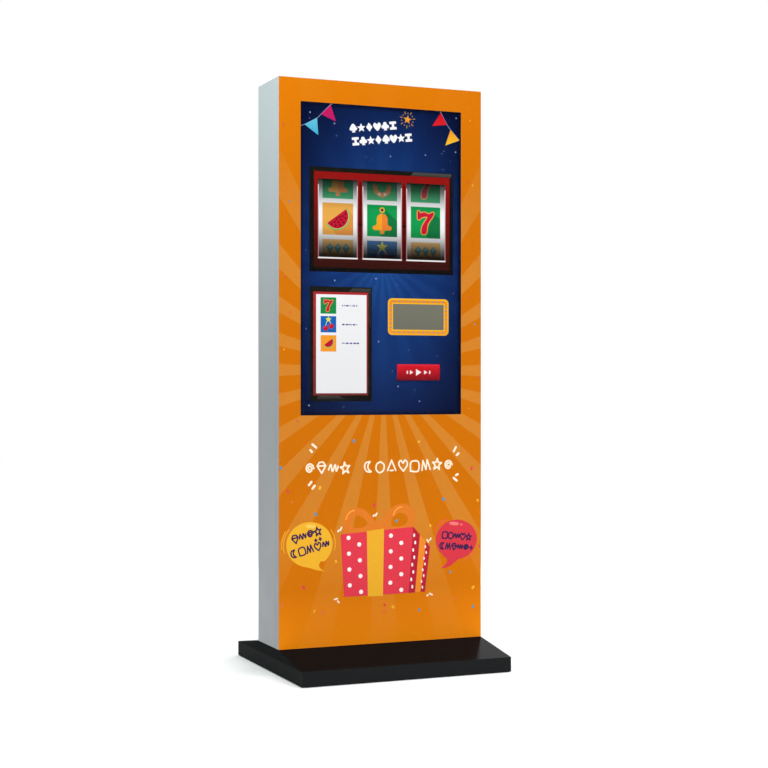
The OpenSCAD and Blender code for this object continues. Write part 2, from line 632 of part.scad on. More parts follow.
// A square axial fan frame with four spokes and a bored motor boss.
module fan_frames() color("#1c1c1e") for (s = [-1, 1]) translate([s * fan_x, 0, fan_z]) difference() {
    union() {
        difference() {
            block([-fan_size / 2, fan_y0, -fan_size / 2], [fan_size / 2, fan_y1, fan_size / 2]);
            y_rod(0, 0, fan_y0 - eps, fan_y1 + eps, fan_hole_r);
        }
        for (a = [45:90:315]) rotate([0, a, 0]) block([10, fan_y1 - 4, -2], [fan_hole_r + 1, fan_y1, 2]);
        y_rod(0, 0, fan_y1 - 6, fan_y1, 17);
    }
    y_rod(0, 0, fan_y1 - 7, fan_y1 - 1.5, 1.5 + fit_gap);
    for (dx = [-1, 1]) for (dz = [-1, 1])
        y_rod(dx * fan_size * 0.4475, dz * fan_size * 0.4475, fan_y0 - eps, fan_y1 + eps, screw_hole_r);
}

module fan_rotor(s) color("#26262a") translate([s * fan_x, fan_y0, fan_z]) {
    y_rod(0, 0, 3, 18, 16);
    y_rod(0, 0, 17, fan_d - 2, 1.5);
    intersection() {
        y_rod(0, 0, 2, 18, fan_hole_r - 1.2);
        for (i = [0:blade_count - 1]) rotate([0, i * 360 / blade_count, 0])
            translate([14, 10.5, 0]) rotate([48, 0, 0]) block([0, -11, -0.8], [26, 11, 0.8]);
    }
}

// ---------- lower rear panel ----------
module rear_panel() color("#b4bcbf") difference() {
    block([-panel_hw, rear_y, panel_z0], [panel_hw, panel_y1, panel_z1]);
    panel_screw_holes();
    plate_screw_holes();
    block([plate_x0 + plate_lap, rear_y - eps, inlet_z - plate_hh + plate_lap],
          [plate_x1 - plate_lap, panel_y1 + eps, inlet_z + plate_hh - plate_lap]);
    vent_slots([-speaker_x, speaker_x], speaker_z - 30, 7, 10, 64, 3.5, rear_y - eps, panel_y1 + eps);
}

module plate_screw_holes() for (x = plate_screw_x) for (s = [-1, 1])
    y_rod(x, inlet_z + s * (plate_hh - plate_screw_in), rear_y - eps, plate_y1 + eps, screw_hole_r);

// A small plate over the panel's window carries the mains inlet and the network socket.
module connector_plate() color("#b4bcbf") difference() {
    block([plate_x0, panel_y1, inlet_z - plate_hh], [plate_x1, plate_y1, inlet_z + plate_hh]);
    plate_screw_holes();
    block([inlet_x - 14, panel_y1 - eps, inlet_z - 29], [inlet_x + 14, plate_y1 + eps, inlet_z + 29]);
    block([socket_x - socket_hw - fit_gap, panel_y1 - eps, socket_z - socket_hw - fit_gap],
          [socket_x + socket_hw + fit_gap, plate_y1 + eps, socket_z + socket_hw + fit_gap]);
}

// Mains inlet: a flanged body with the connector's mouth below, a fuse drawer slot and a rocker pocket above.
module power_inlet() color("#1a1a1c") translate([inlet_x, plate_y1, inlet_z]) difference() {
    union() {
        block([-16, 0, -32], [16, 3, 32]);
        block([-13.6, -inlet_d, -28.6], [13.6, 0.5, 28.6]);
    }
    block([-11.5, -mouth_d, -26], [11.5, 4, -9]);
    block([-8.4, -17, -6.2], [8.4, 4, 0.2]);
    block([-9.4, -9, 5.6], [9.4, 4, 26.4]);
    x_rod(-0.5, 16, -12.4, 12.4, 1.2 + fit_gap);
}

// Three flat contact blades stand on the floor of the mouth, the middle one set higher.
module inlet_blades() color("silver") translate([inlet_x, plate_y1, inlet_z]) {
    for (x = [-7, 7]) block([x - 1, -mouth_d, -21], [x + 1, -2, -17]);
    block([-1, -mouth_d, -15], [1, -2, -11]);
}

// The rocker's face is a shallow V about its pin. It rests tipped to its off side.
module power_rocker() color("#b01818") translate([inlet_x, plate_y1 - 0.5, inlet_z + 16]) rotate([-8, 0, 0]) {
    rotate([90, 0, 90]) translate([0, 0, -9]) linear_extrude(18)
        polygon([[-5, -5], [1, -9.4], [4.4, -9.4], [3, 0], [4.4, 9.4], [1, 9.4], [-5, 5]]);
    x_rod(0, 0, -12, 12, 1.2);
}

module fuse_drawer() color("#202022") translate([inlet_x, plate_y1, inlet_z]) {
    block([-8, -16, -5.8], [8, 3.4, -0.2]);
    block([-8, 3.3, -4.2], [8, 4.6, -1.8]);
}

module network_socket() color("#2a2c2e") translate([socket_x, plate_y1, socket_z]) difference() {
    union() {
        block([-13, 0, -17], [13, 2.4, 17]);
        block([-socket_hw, -socket_d, -socket_hw], [socket_hw, 0.5, socket_hw]);
    }
    block([-6, -12, -5], [6, 3, 4]);
    for (s = [-1, 1]) y_rod(s * 9.5, s * 14.2, 1, 3, 1.6, $fn = 24);
}

module speaker_boxes() color("#202022")
    for (s = [-1, 1]) translate([s * speaker_x, 0, speaker_z]) difference() {
        block([-44, 50, -58], [44, rear_y, 58]);
        block([-41, 53, -55], [41, rear_y - 4, 55]);
        y_rod(0, 0, rear_y - 6, rear_y + eps, speaker_r);
    }

module speaker_cones() color("#303034") for (s = [-1, 1])
    translate([s * speaker_x, rear_y - 4, speaker_z]) rotate([90, 0, 0]) rotate_extrude()
        polygon([[0, 10], [10, 13], [28, 4], [33, 0.6], [39, 0], [39, 1.4],
                 [33, 3], [28.6, 6], [12, 16], [12, 30], [0, 30]]);

// ---------- service door ----------
module rear_door() color("#b4bcbf") difference() {
    block([door_x0, door_y0, door_z0], [door_x1, door_y1, door_z1]);
    for (z = lock_z) y_rod(lock_x, z, door_y0 - eps, door_y1 + eps, 9.6);
    vent_slots([-fan_x, fan_x], fan_z - 36, 9, 9, 76, 4, door_y0 - eps, door_y1 + eps);
    vent_slots([-fan_x, fan_x], comp_z0 + 20, 9, 9, 76, 4, door_y0 - eps, door_y1 + eps);
}

// Hat channels behind the door, clear of the frame when it swings.
module door_stiffeners() color("#a8b0b3") for (x = [-230, 230]) difference() {
    union() {
        block([x - 30, door_y0 - sheet, door_z0 + 40], [x + 30, door_y0, door_z1 - 50]);
        block([x - 18, door_y0 - 15, door_z0 + 40], [x + 18, door_y0, door_z1 - 50]);
    }
    block([x - 18 + sheet, door_y0 - 15 + sheet, door_z0 + 39],
          [x + 18 - sheet, door_y0 + eps, door_z1 - 49]);
}

module door_gasket() color("#181818") difference() {
    block([-half_w + flange_in - 16, rear_y + 0.2, door_open_z0 - 10],
          [half_w - flange_in + 3, door_y0, door_open_z1 + 10]);
    block([-half_w + flange_in - 4, rear_y - eps, door_open_z0 - 2],
          [half_w - flange_in - 5, door_y0 + eps, door_open_z1 + 2]);
}

module barrel(z0, z1, bore) translate([hinge_x, hinge_y, z0]) difference() {
    cylinder(h = z1 - z0, r = barrel_r);
    translate([0, 0, -eps]) cylinder(h = z1 - z0 + 2 * eps, r = bore);
}

module hinge_frame_leaves() color("silver") for (z = hinge_z) difference() {
    union() {
        block([hinge_x + barrel_r + 0.6, rear_y, z - hinge_l / 2], [332, rear_y + 2, z + hinge_l / 2]);
        for (s = [-1, 1]) {
            z0 = s < 0 ? z - hinge_l / 2 : z + hinge_l / 4;
            translate([hinge_x, hinge_y, z0]) cylinder(h = hinge_l / 4, r = barrel_r);
            block([hinge_x, hinge_y - barrel_r + 0.3, z0],
                  [hinge_x + barrel_r + 2, rear_y + 2.6, z0 + hinge_l / 4]);
        }
    }
    translate([hinge_x, hinge_y, z - hinge_l / 2 - eps]) cylinder(h = hinge_l + 2 * eps, r = pin_r + 0.02);
}

module hinge_door_leaves() color("silver") for (z = hinge_z) difference() {
    union() {
        block([hinge_x - 30, door_y1, z - hinge_l / 2],
              [hinge_x - barrel_r - 0.6, door_y1 + 2, z + hinge_l / 2]);
        translate([hinge_x, hinge_y, z - hinge_l / 4 + 0.2]) cylinder(h = hinge_l / 2 - 0.4, r = barrel_r);
        block([hinge_x - barrel_r - 2, door_y1, z - hinge_l / 4 + 0.2],
              [hinge_x, door_y1 + 2, z + hinge_l / 4 - 0.2]);
    }
    translate([hinge_x, hinge_y, z - hinge_l / 2 - eps]) cylinder(h = hinge_l + 2 * eps, r = pin_r + 0.06);
}

module hinge_pins() color("#d0d4d8") for (z = hinge_z) translate([hinge_x, hinge_y, z]) {
    translate([0, 0, -hinge_l / 2]) cylinder(h = hinge_l, r = pin_r);
    translate([0, 0, hinge_l / 2]) cylinder(h = 2, r = 3.4);
}

module lock_bodies() color("silver") for (z = lock_z) difference() {
    union() {
        y_rod(lock_x, z, door_y1, door_y1 + 2.5, 12);
        y_rod(lock_x, z, door_y0 - 3.6, door_y1 + 0.5, 9.5);
        y_hex(lock_x, z, door_y0 - 3.5, door_y0, 13.5);
    }
    y_rod(lock_x, z, door_y0 - 5, door_y1 + 4, plug_r + fit_gap);
}

// The plug with its keyway and the cam on its inner end. The cam hangs down when unlocked.
module lock_cam(z) color("silver") difference() {
    union() {
        y_rod(lock_x, z, door_y0 - 4, door_y1 + 3, plug_r);
        block([lock_x - 7, door_y0 - 5.8, z - 32], [lock_x + 7, door_y0 - 3.8, z + 7]);
        y_hex(lock_x, z, door_y0 - 8.5, door_y0 - 5.7, 5);
    }
    block([lock_x - 0.8, door_y1, z - 4], [lock_x + 0.8, door_y1 + 4, z + 4]);
}

// ---------- cables ----------
module power_cables() color("#1a1a1a") {
    cable(mains, 3.5);
    cable(breaker_link, 2.5);
    cable(supply_feed, 2.5);
    cable(pc_power, 2.5);
    cable(display_power, 3);
    cable(fan_power, 2);
    cable(fan_link, 2);
}

module signal_cables() color("#28282c") {
    cable(video, 3);
    cable(touch_usb, 2);
    cable(touch_tail, 1.5);
    cable(network, 2.5);
}

// Saddle clips on the walls that carry the long cable runs.
module cable_clips() color("#e8e8e8") {
    for (z = clip_z) difference() {
        block([308, 38, z - 4], [wall_x, 50, z + 4]);
        translate([314, 44, z - 5]) cylinder(h = 10, r = 2.3);
    }
    difference() {
        block([-wall_x + sheet, 14, video_clip_z - 4], [-302, 30, video_clip_z + 4]);
        translate([-308, 22, video_clip_z - 5]) cylinder(h = 10, r = 3.4);
    }
}

base_plate();
base_cover();
base_risers();
column_bolts();
for (i = [1:4]) foot_pad(foot_xy[i - 1]);
for (i = [1:4]) foot_stud(foot_xy[i - 1]);
housing_shell();
front_panel();
front_wrap();
glass_gasket();
touch_glass();
glass_clips();
cabinet_fasteners();
display_bezel();
display_cell();
backlight();
display_chassis();
display_board_cover();
display_crossbars();
component_plate();
mini_pc_case();
mini_pc_heatsink();
pc_power_button();
power_supply();
din_rail();
circuit_breaker();
breaker_lever();
terminal_blocks();
touch_controller();
fan_bracket();
fan_frames();
fan_rotor(-1);  // fan_rotor_left
fan_rotor(1);  // fan_rotor_right
rear_panel();
connector_plate();
power_inlet();
inlet_blades();
power_rocker();
fuse_drawer();
network_socket();
speaker_boxes();
speaker_cones();
rear_door();
door_stiffeners();
door_gasket();
hinge_frame_leaves();
hinge_door_leaves();
hinge_pins();
lock_bodies();
lock_cam(lock_z[1]);  // lock_cam_upper
lock_cam(lock_z[0]);  // lock_cam_lower
power_cables();
signal_cables();
cable_clips();
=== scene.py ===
import json
import random
from math import cos, hypot, pi, radians, sin

import bpy
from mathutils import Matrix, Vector
from mathutils.geometry import delaunay_2d_cdt


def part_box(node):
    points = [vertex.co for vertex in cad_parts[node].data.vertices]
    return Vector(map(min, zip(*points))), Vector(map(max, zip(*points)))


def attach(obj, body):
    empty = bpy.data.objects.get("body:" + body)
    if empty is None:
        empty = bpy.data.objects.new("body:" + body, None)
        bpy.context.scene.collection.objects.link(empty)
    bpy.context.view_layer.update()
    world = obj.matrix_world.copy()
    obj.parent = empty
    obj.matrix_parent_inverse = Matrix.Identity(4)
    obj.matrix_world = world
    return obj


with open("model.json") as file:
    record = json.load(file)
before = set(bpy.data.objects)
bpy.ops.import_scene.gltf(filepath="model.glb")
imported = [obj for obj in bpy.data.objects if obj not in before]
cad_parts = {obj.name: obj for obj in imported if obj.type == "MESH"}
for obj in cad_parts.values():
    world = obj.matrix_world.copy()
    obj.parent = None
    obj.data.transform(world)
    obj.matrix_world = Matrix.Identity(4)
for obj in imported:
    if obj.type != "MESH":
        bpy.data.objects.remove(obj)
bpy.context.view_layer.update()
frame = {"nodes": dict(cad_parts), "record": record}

# A touch display totem with an on-screen reel game. The CAD nodes carry the structure. This script
# adds the printed front, the picture on the display, the finishes, the light and the camera.
# The blender objects are in metres. The drawings are in millimetres, as (x, z) on the front.

MM = 0.001
CABINET = "cabinet"
node_lo, node_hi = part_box("front_wrap")
WRAP_Y = node_lo.y
WRAP_X, WRAP_Z0, WRAP_Z1 = node_hi.x / MM, node_lo.z / MM, node_hi.z / MM
cell_lo, cell_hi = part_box("display_cell")
SCREEN_Y = cell_lo.y
SCREEN_CZ = (cell_lo.z + cell_hi.z) / 2 / MM
# The display's picture, in millimetres.
PICTURE_W, PICTURE_H = 529.4, 941.2
# The height in metres to which the plinth's edges are upright, and so where their painted sheen ends.
PLINTH_EDGE_Z = 0.046
# Each ink lies this much in front of the one below it, and starts this far behind the plane.
INK = 0.10 * MM
SINK = 0.05 * MM


def new_object(name, data):
    piece = bpy.data.objects.new(name, data)
    bpy.context.scene.collection.objects.link(piece)
    return piece


# ---------- colours and node trees ----------
def linear(rgb):
    """A display colour, 0 to 255 a channel, as linear light with alpha."""
    shares = [c / 255 for c in rgb]
    return tuple(s / 12.92 if s <= 0.04045 else ((s + 0.055) / 1.055) ** 2.4 for s in shares) + (1.0,)


class Finish:
    """A material's node tree on a Principled shader, with the few nodes that the finishes share."""

    def __init__(self, name, roughness=0.5, metallic=0.0, **constants):
        self.material = bpy.data.materials.new(name)
        self.material.use_nodes = True
        self.tree = self.material.node_tree
        self.shader = self.tree.nodes["Principled BSDF"]
        self.set(Roughness=roughness, Metallic=metallic, **constants)
        place = self.tree.nodes.new("ShaderNodeTexCoord")
        self.place = place.outputs["Object"]

    def set(self, **sockets):
        """Plain numbers go on the socket, and node outputs are linked to it."""
        for socket, value in sockets.items():
            self.feed(self.shader.inputs[socket.replace("_", " ")], value)

    def feed(self, socket, value):
        if isinstance(value, bpy.types.NodeSocket):
            self.tree.links.new(value, socket)
        else:
            socket.default_value = value

    def math(self, operation, a, b=0.0):
        node = self.tree.nodes.new("ShaderNodeMath")
        node.operation = operation
        self.feed(node.inputs[0], a)
        self.feed(node.inputs[1], b)
        return node.outputs[0]

    def length(self, a, b):
        """The length of the vector (a, b)."""
        squares = self.math("ADD", self.math("MULTIPLY", a, a), self.math("MULTIPLY", b, b))
        return self.math("SQRT", squares)

    def axes(self):
        """The surface point's x, y and z in metres."""
        node = self.tree.nodes.new("ShaderNodeSeparateXYZ")
        self.feed(node.inputs[0], self.place)
        return node.outputs[0], node.outputs[1], node.outputs[2]

    def span(self, value, low, high, to_low=0.0, to_high=1.0, smooth=False):
        """Value from low to high mapped to a new range and held at its ends."""
        node = self.tree.nodes.new("ShaderNodeMapRange")
        node.interpolation_type = "SMOOTHSTEP" if smooth else "LINEAR"
        for i, v in enumerate((value, low, high, to_low, to_high)):
            self.feed(node.inputs[i], v)
        return node.outputs[0]

    def noise(self, per_metre, detail=2.0, stretch=(1, 1, 1)):
        """Noise with features about 1 / per_metre long."""
        vector = self.place
        if stretch != (1, 1, 1):
            mapping = self.tree.nodes.new("ShaderNodeMapping")
            mapping.inputs["Scale"].default_value = stretch
            self.feed(mapping.inputs["Vector"], vector)
            vector = mapping.outputs[0]
        node = self.tree.nodes.new("ShaderNodeTexNoise")
        node.inputs["Scale"].default_value = per_metre
        node.inputs["Detail"].default_value = detail
        self.feed(node.inputs["Vector"], vector)
        return node.outputs["Fac"]

    def cells(self, per_metre):
        node = self.tree.nodes.new("ShaderNodeTexVoronoi")
        node.inputs["Scale"].default_value = per_metre
        self.feed(node.inputs["Vector"], self.place)
        return node.outputs["Distance"]

    def ramp(self, value, stops):
        """A colour ramp from stops, each a place from 0 to 1 and a display colour."""
        node = self.tree.nodes.new("ShaderNodeValToRGB")
        stored = node.color_ramp.elements
        while len(stored) < len(stops):
            stored.new(0.5)
        for element, (place, colour) in zip(stored, stops):
            element.position = place
            element.color = linear(colour)
        self.feed(node.inputs[0], value)
        return node.outputs["Color"]

    def mix(self, share, a, b, blend="MIX"):
        node = self.tree.nodes.new("ShaderNodeMix")
        node.data_type = "RGBA"
        node.blend_type = blend
        # The node's sockets 6 and 7 take the two colours, and its output 2 gives the mixed one.
        for i, v in ((0, share), (6, a), (7, b)):
            self.feed(node.inputs[i], v)
        return node.outputs[2]

    def vary(self, colour, value, amount):
        """The colour made lighter and darker by the share amount as value goes from 0 to 1."""
        grey = self.span(value, 0.0, 1.0, 1.0 - amount, 1.0 + amount)
        combine = self.tree.nodes.new("ShaderNodeCombineXYZ")
        for i in range(3):
            self.feed(combine.inputs[i], grey)
        return self.mix(1.0, colour, combine.outputs[0], "MULTIPLY")

    def roughen(self, value, low, high):
        """Roughness from low to high, as a noise goes through its middle range."""
        self.set(Roughness=self.span(value, 0.3, 0.7, low, high))

    def bump(self, height, strength, distance):
        node = self.tree.nodes.new("ShaderNodeBump")
        node.inputs["Strength"].default_value = strength
        node.inputs["Distance"].default_value = distance
        self.feed(node.inputs["Height"], height)
        self.feed(self.shader.inputs["Normal"], node.outputs[0])


# ---------- flat shapes, as lists of (x, z) in millimetres ----------
def rect(x0, z0, x1, z1):
    return [(x0, z0), (x1, z0), (x1, z1), (x0, z1)]


def rounded(x0, z0, x1, z1, radius, steps=6):
    corners = ((x1 - radius, z0 + radius, -90), (x1 - radius, z1 - radius, 0),
               (x0 + radius, z1 - radius, 90), (x0 + radius, z0 + radius, 180))
    return [p for cx, cz, start in corners for p in arc(cx, cz, radius, start, start + 90, steps)]


def polar(cx, cz, r, turn, rz=None):
    """The point at turn degrees on a circle, or on an ellipse when rz is given."""
    a = radians(turn)
    return (cx + r * cos(a), cz + (rz or r) * sin(a))


def arc(cx, cz, r, start, end, steps=16, rz=None):
    return [polar(cx, cz, r, start + (end - start) * i / steps, rz) for i in range(steps + 1)]


def disc(cx, cz, r, rz=None, steps=28):
    return arc(cx, cz, r, 0, 360, steps, rz)[:-1]


def star(cx, cz, r, inner=0.45, points=5, turn=90):
    radii = [r, r * inner] * points
    return [polar(cx, cz, q, turn + 180 / points * i) for i, q in enumerate(radii)]


def moved(points, x=0.0, z=0.0, turn=0.0, size=1.0, stretch=1.0):
    """The points scaled, turned by degrees about the origin and moved."""
    c, s = cos(radians(turn)), sin(radians(turn))
    scaled = [(px * size * stretch, pz * size) for px, pz in points]
    return [(x + px * c - pz * s, z + px * s + pz * c) for px, pz in scaled]


def smooth(points, steps=6, closed=False):
    """A Catmull-Rom curve through the points."""
    n = len(points)
    at = (lambda i: points[i % n]) if closed else (lambda i: points[min(max(i, 0), n - 1)])
    out = []
    for i in range(n if closed else n - 1):
        p0, p1, p2, p3 = (at(i + k) for k in (-1, 0, 1, 2))
        for step in range(steps):
            t = step / steps
            out.append(tuple(
                0.5 * (2 * b + (c - a) * t + (2 * a - 5 * b + 4 * c - d) * t * t
                       + (3 * b - a - 3 * c + d) * t ** 3)
                for a, b, c, d in zip(p0, p1, p2, p3)))
    return out if closed else out + [points[-1]]


def area(points):
    pairs = zip(points, points[1:] + points[:1])
    return sum(a[0] * b[1] - b[0] * a[1] for a, b in pairs) / 2


# ---------- thin drawn plates ----------
# A pen line is mitred where it bends by less than the angle with this cosine, about 32 degrees.
MITRE_COSINE = 0.85
# Corners of a drawing that are closer together than this, in millimetres, become one.
SAME_POINT = 0.0005


def pen(line, width):
    """The shapes of a pen line: a quad for each step, and a disc at each end and sharp corner."""
    half, normals = width / 2, []
    for (ax, az), (bx, bz) in zip(line, line[1:]):
        length = hypot(bx - ax, bz - az)
        normals.append((-(bz - az) / length, (bx - ax) / length))
    starts, ends = [normals[0]], []
    shapes = [disc(*line[0], half, steps=12), disc(*line[-1], half, steps=12)]
    for joint, (ax, az), (bx, bz) in zip(line[1:], normals, normals[1:]):
        cosine = ax * bx + az * bz
        if cosine > MITRE_COSINE:
            shared = ((ax + bx) / (1 + cosine), (az + bz) / (1 + cosine))
            ends.append(shared)
            starts.append(shared)
        else:
            shapes.append(disc(*joint, half, steps=12))
            ends.append((ax, az))
            starts.append((bx, bz))
    ends.append(normals[-1])
    for (ax, az), (bx, bz), (mx, mz), (nx, nz) in zip(line, line[1:], starts, ends):
        shapes.append([(ax - mx * half, az - mz * half), (bx - nx * half, bz - nz * half),
                       (bx + nx * half, bz + nz * half), (ax + mx * half, az + mz * half)])
    return shapes


def merged(shapes):
    """All the shapes of one ink as flat triangles that don't overlap, with the holes left open."""
    points, rings, solids = [], [], []
    for outline, holes in shapes:
        first = len(rings)
        for ring in (outline, *holes):
            turned = ring if area(ring) > 0 else ring[::-1]
            rings.append(list(range(len(points), len(points) + len(ring))))
            points += [Vector(p) for p in turned]
        solids.append((first, set(range(first + 1, len(rings)))))
    # Output type 1 gives the triangles inside the rings, each with the rings that it came from.
    corners, _, cells, _, _, sources = delaunay_2d_cdt(points, [], rings, 1, SAME_POINT, True)
    kept = []
    for cell, source in zip(cells, sources):
        within = set(source)
        if any(first in within and not within & holes for first, holes in solids):
            kept.append(list(cell))
    return [tuple(c) for c in corners], kept


class Art:
    """Coloured plates on a plane that faces -Y. A higher level lies in front of a lower one."""

    def __init__(self, name, plane, slot):
        self.name, self.plane, self.slot = name, plane, slot
        self.layers = {}

    def plate(self, material, level, outline, *holes):
        """A closed outline, with holes in it."""
        self.layers.setdefault((level, material.name), (material, []))[1].append((outline, holes))

    def stroke(self, material, level, line, width):
        """A pen line with round ends and corners."""
        for shape in pen(line, width):
            self.plate(material, level, shape)

    def finish(self):
        vertices, faces, inks_used, materials = [], [], [], []
        for (level, _), (material, shapes) in self.layers.items():
            if material not in materials:
                materials.append(material)
            corners, cells = merged(shapes)
            n, first = len(corners), len(vertices)
            for y in (self.plane - level * INK, self.plane + SINK):
                vertices += [(x * MM, y, z * MM) for x, z in corners]
            edges = {(a, b) for cell in cells for a, b in zip(cell, cell[1:] + cell[:1])}
            rim = sorted((a, b) for a, b in edges if (b, a) not in edges)
            faces += [[first + i for i in cell] for cell in cells]
            faces += [[first + n + i for i in cell[::-1]] for cell in cells]
            faces += [[first + a, first + n + a, first + n + b, first + b] for a, b in rim]
            inks_used += [materials.index(material)] * (len(faces) - len(inks_used))
        mesh = bpy.data.meshes.new(self.name)
        mesh.from_pydata(vertices, [], faces)
        for material in materials:
            mesh.materials.append(material)
        mesh.polygons.foreach_set("material_index", inks_used)
        mesh.update()
        piece = new_object(self.name, mesh)
        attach(piece, CABINET)


def screen_art(name):
    return Art(name, SCREEN_Y, "lcd_picture")


def wrap_art(name):
    return Art(name, WRAP_Y, "printed_wrap")


# ---------- inks ----------
# Each ink is made once, and kept here by what it looks like.
inks = {}


def vinyl(name, colour_of, mottle):
    """Ink on matt vinyl, with a fine grain and a mottle of the share given."""
    paint = Finish(name, roughness=0.42, Specular_IOR_Level=0.04)
    paint.set(Base_Color=paint.vary(colour_of(paint), paint.noise(60.0, 4.0), mottle))
    paint.bump(paint.noise(1400.0), 0.12, 0.0002)
    return paint.material


def light(name, colour_of):
    """A display colour: black to the room's light, and lit from behind."""
    paint = Finish(name, roughness=0.35, Emission_Strength=1.0, Specular_IOR_Level=0.05,
                   Base_Color=(0, 0, 0, 1))
    paint.set(Emission_Color=colour_of(paint))
    return paint.material


def print_ink(rgb):
    if rgb not in inks:
        inks[rgb] = vinyl("print_%02x%02x%02x" % rgb, lambda paint: linear(rgb), 0.04)
    return inks[rgb]


# The reels' windows from side to side and from low to high, and the cards behind them.
WINDOWS = ((-208, -79), (-63, 67.6), (83, 216))
REEL_Z0, REEL_Z1 = 1253.0, 1494.5
CARDS_X, CARD_Z = (-143.6, 2.1, 148.3), 1374.0
CARD_W, CARD_H, CARD_PITCH = 100.0, 97.5, 110.7
# How bright the reels look, 0 to 255, at heights from the lower to the upper edge of their windows,
# since they curve away.
REEL_SHADE = ((1253, 6), (1266, 32), (1285, 90), (1305, 150), (1330, 214), (1350, 243), (1375, 254),
              (1405, 249), (1430, 214), (1450, 167), (1470, 106), (1495, 22))
# Away from the middle card the colours also get a wash of white, which sets in between these distances.
REEL_WASH = (44, 62)


def glow(rgb, low=None, span=(0, 1), reel=False):
    """A display colour, with another colour at the low end of a height span, or shaded as a reel."""
    key = (rgb, low, span, reel)
    if key in inks:
        return inks[key]

    def colour_of(paint):
        _, _, z = paint.axes()
        colour = paint.vary(linear(rgb), paint.noise(25.0, 3.0), 0.03)
        if low is not None:
            share = paint.span(z, span[0] * MM, span[1] * MM)
            colour = paint.mix(share, linear(low), colour)
        if reel:
            washed = linear([0.72 * c + 0.28 * 255 for c in rgb])
            off = paint.math("ABSOLUTE", paint.math("SUBTRACT", z, CARD_Z * MM))
            colour = paint.mix(paint.span(off, REEL_WASH[0] * MM, REEL_WASH[1] * MM), colour, washed)
            low_z, high_z = REEL_SHADE[0][0], REEL_SHADE[-1][0]
            share = paint.span(z, low_z * MM, high_z * MM)
            stops = [((at - low_z) / (high_z - low_z), (v, v, v)) for at, v in REEL_SHADE]
            colour = paint.mix(1.0, colour, paint.ramp(share, stops), "MULTIPLY")
        return colour

    name = "light_%02x%02x%02x" % rgb + ("_reel" if reel else "") + ("_fade" if low else "")
    inks[key] = light(name, colour_of)
    return inks[key]


# ---------- the camera, the light and the floor ----------
def make_camera():
    data = bpy.data.cameras.new("camera")
    data.lens = 74.98
    data.sensor_width = 36.0
    camera = new_object("camera", data)
    camera.location = (-1.890, -4.6247, 0.8727)
    camera.rotation_euler = (radians(90), 0, radians(-22.71))
    bpy.context.scene.camera = camera


def lamp(kind, name, place, target, strength, colour=(1, 1, 1), mirrored=True, **settings):
    """A lamp at a place, aimed at a target. One that isn't mirrored never shows in a gloss."""
    data = bpy.data.lights.new(name, kind)
    data.energy = strength
    data.color = colour
    for key, value in settings.items():
        setattr(data, key, value)
    piece = new_object(name, data)
    piece.location = place
    piece.visible_glossy = mirrored
    aim = Vector(target) - Vector(place)
    piece.rotation_euler = aim.to_track_quat("-Z", "Y").to_euler()


def make_world():
    """White behind the object, and a softer grey for everything else that sees the sky."""
    world = bpy.data.worlds.new("studio")
    world.use_nodes = True
    bpy.context.scene.world = world
    tree = world.node_tree
    sky = tree.nodes["Background"]
    sky.inputs["Strength"].default_value = 0.32
    backdrop = tree.nodes.new("ShaderNodeBackground")
    backdrop.inputs["Strength"].default_value = 1.0
    for node in (sky, backdrop):
        node.inputs["Color"].default_value = (1, 1, 1, 1)
    seen = tree.nodes.new("ShaderNodeLightPath")
    choice = tree.nodes.new("ShaderNodeMixShader")
    tree.links.new(seen.outputs["Is Camera Ray"], choice.inputs[0])
    tree.links.new(sky.outputs[0], choice.inputs[1])
    tree.links.new(backdrop.outputs[0], choice.inputs[2])
    tree.links.new(choice.outputs[0], tree.nodes["World Output"].inputs["Surface"])


def make_studio():
    bpy.context.scene.view_settings.view_transform = "Standard"
    make_world()
    lamp("SUN", "softbox_high", (0.6, -1.35, 4.5), (0, 0, 0), 2.5, angle=radians(70))
    lamp("AREA", "softbox_left", (-1.75, -0.2, 2.2), (-0.34, 0, 2.6), 57, colour=(0.84, 1.0, 0.96),
         shape="RECTANGLE", size=0.8, size_y=0.8)
    lamp("AREA", "softbox_low", (0.5, -2.3, 0.4), (0.1, -0.1, 0.15), 8, mirrored=False,
         shape="RECTANGLE", size=0.8, size_y=0.6)
    lamp("AREA", "softbox_back", (1.55, 2.2, 1.25), (0.1, -0.1, 0.3), 22,
         shape="RECTANGLE", size=1.2, size_y=1.2)
    reach = 14.0
    floor = bpy.data.meshes.new("floor")
    floor.from_pydata([(-reach, -reach, 0), (reach, -reach, 0), (reach, reach, 0), (-reach, reach, 0)],
                      [], [(0, 1, 2, 3)])
    pale = Finish("floor", roughness=0.9, Specular_IOR_Level=0.1)
    pale.set(Base_Color=pale.vary((0.95, 0.95, 0.95, 1.0), pale.noise(3.0, 3.0), 0.01))
    floor.materials.append(pale.material)
    ground = new_object("floor", floor)


# ---------- finishes of the CAD nodes ----------
# The centres of the rays on the wrap and on the screen, and the half size of the screen's blue glow.
WRAP_BURST, SCREEN_BURST = (3.5, 915), (3.5, 1255)
GLOW_W, GLOW_H = 245, 420


def rays(paint, centre, count, share, fade_from, fade_to, least, edge):
    """Light bands that spread from a centre. Returns 0 between the bands and up to 1 on them."""
    x, _, z = paint.axes()
    dx = paint.math("SUBTRACT", x, centre[0] * MM)
    dz = paint.math("SUBTRACT", centre[1] * MM, z)
    turn = paint.math("ARCTAN2", dx, dz)
    beat = paint.math("PINGPONG", turn, pi / count)
    half = share * pi / count
    band = paint.span(beat, half * (1 - edge), half * (1 + edge), 1.0, 0.0, smooth=True)
    fade = paint.span(paint.length(dx, dz), fade_from * MM, fade_to * MM, 1.0, least, smooth=True)
    return paint.math("MULTIPLY", band, fade)


